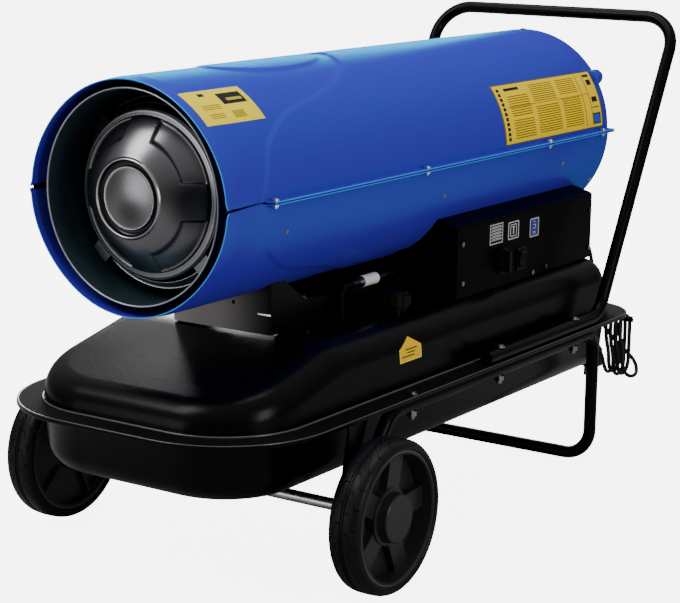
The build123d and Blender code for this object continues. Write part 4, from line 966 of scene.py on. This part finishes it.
# The root bead takes the same painted highlight.
root.data.materials.append(edge_highlight)
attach(root, "chassis")
tank_black = finish("tank_black", (0.0004, 0.0004, 0.0005), (0.0008, 0.0008, 0.0009), (0.24, 0.3),
                    clouds=7, grains=1300, relief=0.000001, Specular_IOR_Level=0.085)
flange_top, dull = 221.2, 0.8
tank_tree = tank_black.node_tree
on_flange = sum_step(tank_tree, "LESS_THAN", surface_place(tank_tree)["Z"], flange_top / 1000)
roughness_socket = tank_tree.nodes["Principled BSDF"].inputs["Roughness"]
tank_tree.links.new(sum_step(tank_tree, "MAXIMUM", roughness_socket.links[0].from_socket,
                             sum_step(tank_tree, "MULTIPLY", on_flange, dull)), roughness_socket)
dress(tank_black, "tank_upper")
dress(gloss_black, "filler_neck")
black_plastic = finish("black_plastic", (0.0015, 0.0015, 0.0017), (0.003, 0.003, 0.0034), (0.34, 0.46),
                       clouds=30, grains=2200, relief=0.00004, Specular_IOR_Level=0.1)
white_plastic = finish("white_plastic", (0.72, 0.72, 0.7), (0.8, 0.8, 0.78), (0.3, 0.4), clouds=30,
                       grains=2200, relief=0.00002)
dress(black_plastic, "fuel_cap", "photocell")
dress(gloss_black, "fuel_gauge")
filter_y, filter_reach = 398, 17.5


def dark_ends(material, middle_y, reach, dark):
    """Keeps a finish to the middle of a piece that lies along the heater, and darkens both its ends."""
    tree = material.node_tree
    middle = sum_step(tree, "COMPARE", surface_place(tree)["Y"], outlet_y + middle_y / 1000, reach / 1000)
    lay_over(material, middle, dark, around=True)


dark_ends(white_plastic, filter_y, filter_reach, (0.003, 0.003, 0.003))
dress(white_plastic, "fuel_filter")

# ---- Support and control box ----------------------------------------------------------------------
# Bent and powder coated black sheet: two walls and two end plates carry the barrel on the tank, and the
# control box hangs beside them with its panel screwed on. The panel has three thin vinyl stickers.

satin_black = finish("satin_black", (0.0004, 0.0004, 0.0005), (0.0007, 0.0007, 0.0009), (0.3, 0.36),
                     clouds=9, grains=1300, relief=0.000003, Specular_IOR_Level=0.025)
front_reflection_black = finish("front_reflection_black", (0.0004, 0.0004, 0.0005), (0.0007, 0.0007, 0.0009), (0.26, 0.34),
                      clouds=9, grains=1300, relief=0.000003, Specular_IOR_Level=0.1)
support_front, reflection_depth, reflection_left, reflection_right = 190, 2, -20, 80


def paint_front_reflection(material, reflection_tint):
    """Paints a pale reflection on the plate that faces the outlet, fading out to the control side."""
    tree = material.node_tree
    place = surface_place(tree)
    front = sum_step(tree, "LESS_THAN", place["Y"], outlet_y + (support_front + reflection_depth) / 1000)
    fade = graded(tree, place["X"], reflection_right / 1000, reflection_left / 1000, soft=True)
    lay_over(material, sum_step(tree, "MULTIPLY", front, fade), reflection_tint)


# Painted reflection on the support's front plate: pale on the left, gone towards the control side.
paint_front_reflection(front_reflection_black, (0.3, 0.272, 0.26))
dress(front_reflection_black, "support")
dress(satin_black, "control_box", "control_panel")
panel_face, panel_print_gap, panel_print_sheet = 160, 0.03, 0.15


def panel_print(name, ys, zs, corner, material):
    """A thin vinyl sticker on the panel's outer face, with rounded corners."""
    piece = formed_sheet(name, 1, 1, lambda across, along: (
        panel_face + panel_print_gap + panel_print_sheet + 0 * across, ys[0] + (ys[1] - ys[0]) * across,
        zs[0] + (zs[1] - zs[0]) * along))
    bpy.ops.object.mode_set(mode="EDIT")
    bpy.ops.mesh.select_all(action="SELECT")
    bpy.ops.mesh.bevel(offset=corner / 1000, segments=5, affect="VERTICES")
    bpy.ops.object.mode_set(mode="OBJECT")
    add_thickness(piece, panel_print_sheet)
    piece.data.materials.append(material)
    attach(piece, "chassis")


ink_pale, ink_beige = (0.55, 0.55, 0.55), (0.5, 0.42, 0.26)
panel_vinyl = (0.003, 0.003, 0.003), (0.004, 0.004, 0.004)
striped_print = sticker_finish("striped_print", *panel_vinyl, [(ink_pale, [
    *border(0.02, 0.03, 0.04, 0.04), (0.06, 0.94, 0.20, 0.92, 5, 0.22), (0.16, 0.84, 0.26, 0.98, 5, 0.2)])])
symbol_print = sticker_finish("symbol_print", *panel_vinyl, [(ink_pale, [
    *border(0.03, 0.04, 0.06, 0.05, 0.03, 0.04), *border(0.22, 0.18, 0.05, 0.04, 0.02, 0.02),
    (0.45, 0.54, 0.30, 0.68), (0.38, 0.62, 0.66, 0.71)])])
blue_print = sticker_finish("blue_print", (0.02, 0.03, 0.22), (0.025, 0.035, 0.26), [(ink_beige, [
    *border(0.02, 0.02, 0.08, 0.06, 0.04, 0.04), (0.36, 0.64, 0.18, 0.34, 2, 0.5),
    (0.34, 0.66, 0.44, 0.48), (0.34, 0.66, 0.62, 0.66), (0.60, 0.66, 0.44, 0.66),
    (0.42, 0.58, 0.76, 0.82)])])
panel_print("striped_panel_print", (612, 651), (367, 398), 1.5, striped_print)
panel_print("symbol_panel_print", (665, 699), (367, 395), 4, symbol_print)
panel_print("blue_panel_print", (731, 760), (362, 391), 3, blue_print)
dress(black_plastic, "thermostat_knob", "rocker_switch", "switch_housing", "thermostat", "cord_gland",
      "ignition_transformer")
board_green = finish("board_green", (0.02, 0.1, 0.03), (0.03, 0.14, 0.045), (0.35, 0.5), clouds=60,
                     grains=2500, relief=0.00003)
dress(board_green, "control_board")

# ---- Tag on the tank ------------------------------------------------------------------------------
# A five-sided yellow vinyl tag, plain but for three bars, on the tank's side under the filler. It is
# stuck on and follows the curve of the pressed wall.

tag_ys, tag_low, tag_eaves, tag_ridge, tag_sheet = (334, 388), 253, 271, 285, 0.2
tag_seen_from = 400
tank_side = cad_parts["tank_upper"]


def tag_form(across, along):
    """The five-sided outline, laid on the tank's side by looking from the right for its face."""
    top = tag_eaves + (tag_ridge - tag_eaves) * (1 - np.abs(2 * across - 1))
    y, z = tag_ys[0] + (tag_ys[1] - tag_ys[0]) * across, tag_low + (top - tag_low) * along
    inward = tank_side.matrix_world.inverted()
    faces = []
    for place in zip(y, z):
        seen_from = inward @ behind_rim(tag_seen_from, *place)
        ahead = (inward @ behind_rim(0, *place) - seen_from).normalized()
        hit, point, _, _ = tank_side.ray_cast(seen_from, ahead)
        faces.append((tank_side.matrix_world @ point).x * 1000 if hit else 0)
    return np.array(faces) + sticker_gap + tag_sheet, y, z


ink_yellow = (0.85, 0.68, 0.10)
tag_print = sticker_finish("tag_print", (0.72, 0.44, 0.01), (0.80, 0.50, 0.012), [
    (ink_yellow, [(0, 1, 0, 0.05), (0, 0.04, 0, 1), (0.96, 1, 0, 1)]),
    (ink_black, [(0.10, 0.68, 0.20, 0.25), (0.34, 0.70, 0.34, 0.39), (0.28, 0.80, 0.48, 0.53)])])
tag = formed_sheet("tank_tag", 24, 24, tag_form)
tag_map = tag.data.uv_layers.active.data
for loop in tag.data.loops:
    place = tag.data.vertices[loop.vertex_index].co
    tag_map[loop.index].uv = (((place.y - outlet_y) * 1000 - tag_ys[0]) / (tag_ys[1] - tag_ys[0]),
                              (place.z * 1000 - tag_low) / (tag_ridge - tag_low))
add_thickness(tag, tag_sheet)
bpy.ops.object.shade_smooth_by_angle(angle=math.radians(35))
tag.data.materials.append(tag_print)
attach(tag, "chassis")

# ---- Fuel and air lines ---------------------------------------------------------------------------
# Black hose from the tank to the filter and on to the burner, and the pump's air hose. Both are taken
# to be plain rubber hose, pushed on at their ends.

hose = finish("hose", (0.0015, 0.0015, 0.0015), (0.003, 0.003, 0.003), (0.35, 0.48), clouds=40, grains=2000,
              relief=0.00003, Specular_IOR_Level=0.1)
dress(hose, "fuel_line", "air_line")

# ---- Trolley --------------------------------------------------------------------------------------
# 19 mm steel tube, bent and powder coated black: a frame with a U-shaped rear leg under the tank's
# flange and a U-shaped handle above it, bolted through both. Two gussets brace the axle.

dress(gloss_black, "frame_tube", "handle_tube", "axle_struts", "cord_hook")

# ---- Wheels ---------------------------------------------------------------------------------------
# Moulded black rims with five flat spokes, a cap over the hub, and solid rubber tyres with a ribbed
# centre and wavy slots to both shoulders.

axle_y, axle_z, wheel_inner = 180.6, 100, 241.5
slots_per_tyre, slot_depth, slot_start, slot_run, tread_radius = 24, 1.3, 4.5, 14, 96
slot_slant, slot_wave, side_offset = 0.75, 0.22, 0.5
tyre_section = (
    (3, 86), (1.2, 87.2), (0.2, 89.4), (0.6, 92.2), (1.9, 94.6), (4, 96.8), (6.5, 98.3), (9.5, 99.2),
    (12.5, 99.65), (15, 99.8), (17.5, 99.95), (19.6, 100), (20.2, 99.9), (20.6, 98.7), (21.9, 98.7),
    (22.2, 99.9), (23, 100), (23.8, 99.9), (24.1, 98.7), (25.4, 98.7), (25.8, 99.9), (26.4, 100),
    (28.5, 99.95), (31, 99.8), (33.5, 99.65), (36.5, 99.2), (39.5, 98.3), (42, 96.8), (44.1, 94.6),
    (44.4, 94.2), (44.6, 93.2), (45.2, 92.4), (45.8, 89.4), (44.8, 87.2), (43, 86))
slot_rows = (0, 0.045, 0.06, 0.085, 0.115, 0.14, 0.155, 0.22, 0.32, 0.42, 0.52, 0.62, 0.72, 0.82, 0.9, 0.95)
section_x, section_radius = np.array(tyre_section).T
middle_x = 23.0


def tyre_form(side):
    """The form of one wheel's tyre, with its slots in rows that sway from the middle to the shoulders."""
    def form(across, along):
        corner = np.rint(across * len(tyre_section)).astype(int) % len(tyre_section)
        row = np.rint(along * slots_per_tyre * len(slot_rows)).astype(int)
        pitch = row // len(slot_rows) + np.array(slot_rows)[row % len(slot_rows)]
        x, radius = section_x[corner], section_radius[corner]
        reach = np.clip((np.abs(x - middle_x) - slot_start) / slot_run, 0, 1)
        in_slot = np.isin(row % len(slot_rows), (3, 4)) & (reach > 0.02) & (radius > tread_radius)
        radius = radius - slot_depth * in_slot
        sway = -slot_slant * reach + slot_wave * np.sin(2 * math.pi * reach) + side_offset * (x < middle_x)
        turn = 2 * math.pi * (pitch + sway) / slots_per_tyre
        return side * (wheel_inner + x), axle_y - radius * np.cos(turn), axle_z + radius * np.sin(turn)
    return form


tyre_rubber = finish("tyre_rubber", (0.0015, 0.0015, 0.0016), (0.003, 0.003, 0.0032), (0.38, 0.5),
                     clouds=18, grains=1800, relief=0.00006, Specular_IOR_Level=0.15)
rim_plastic = finish("rim_plastic", (0.01, 0.01, 0.011), (0.016, 0.016, 0.0175), (0.32, 0.4),
                     clouds=20, grains=2000, relief=0.00003, Specular_IOR_Level=0.25)
lip_radius = 84.6


def paint_lip_highlight(material, reach, tint):
    """Paints a highlight on the lip of a wheel rim: a lighter tint beyond a distance from the axle."""
    tree = material.node_tree
    place = surface_place(tree)
    along = sum_step(tree, "SUBTRACT", place["Y"], outlet_y + axle_y / 1000)
    above = sum_step(tree, "SUBTRACT", place["Z"], axle_z / 1000)
    squared = sum_step(tree, "ADD", sum_step(tree, "MULTIPLY", along, along),
                       sum_step(tree, "MULTIPLY", above, above))
    lay_over(material, sum_step(tree, "GREATER_THAN", squared, (reach / 1000) ** 2), tint)


# Painted highlight on the outer lip of both rims.
paint_lip_highlight(rim_plastic, lip_radius, (0.08, 0.08, 0.084))
for name, side in (("right", 1), ("left", -1)):
    tyre = formed_sheet("tread_" + name, len(tyre_section), slots_per_tyre * len(slot_rows), tyre_form(side))
    close_seams(tyre)
    bpy.ops.object.shade_smooth_by_angle(angle=math.radians(40))
    tyre.data.materials.append(tyre_rubber)
    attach(tyre, "wheel_" + name)
    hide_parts("tyre_" + name)
    dress(rim_plastic, "wheel_rim_" + name, "hub_cap_" + name)
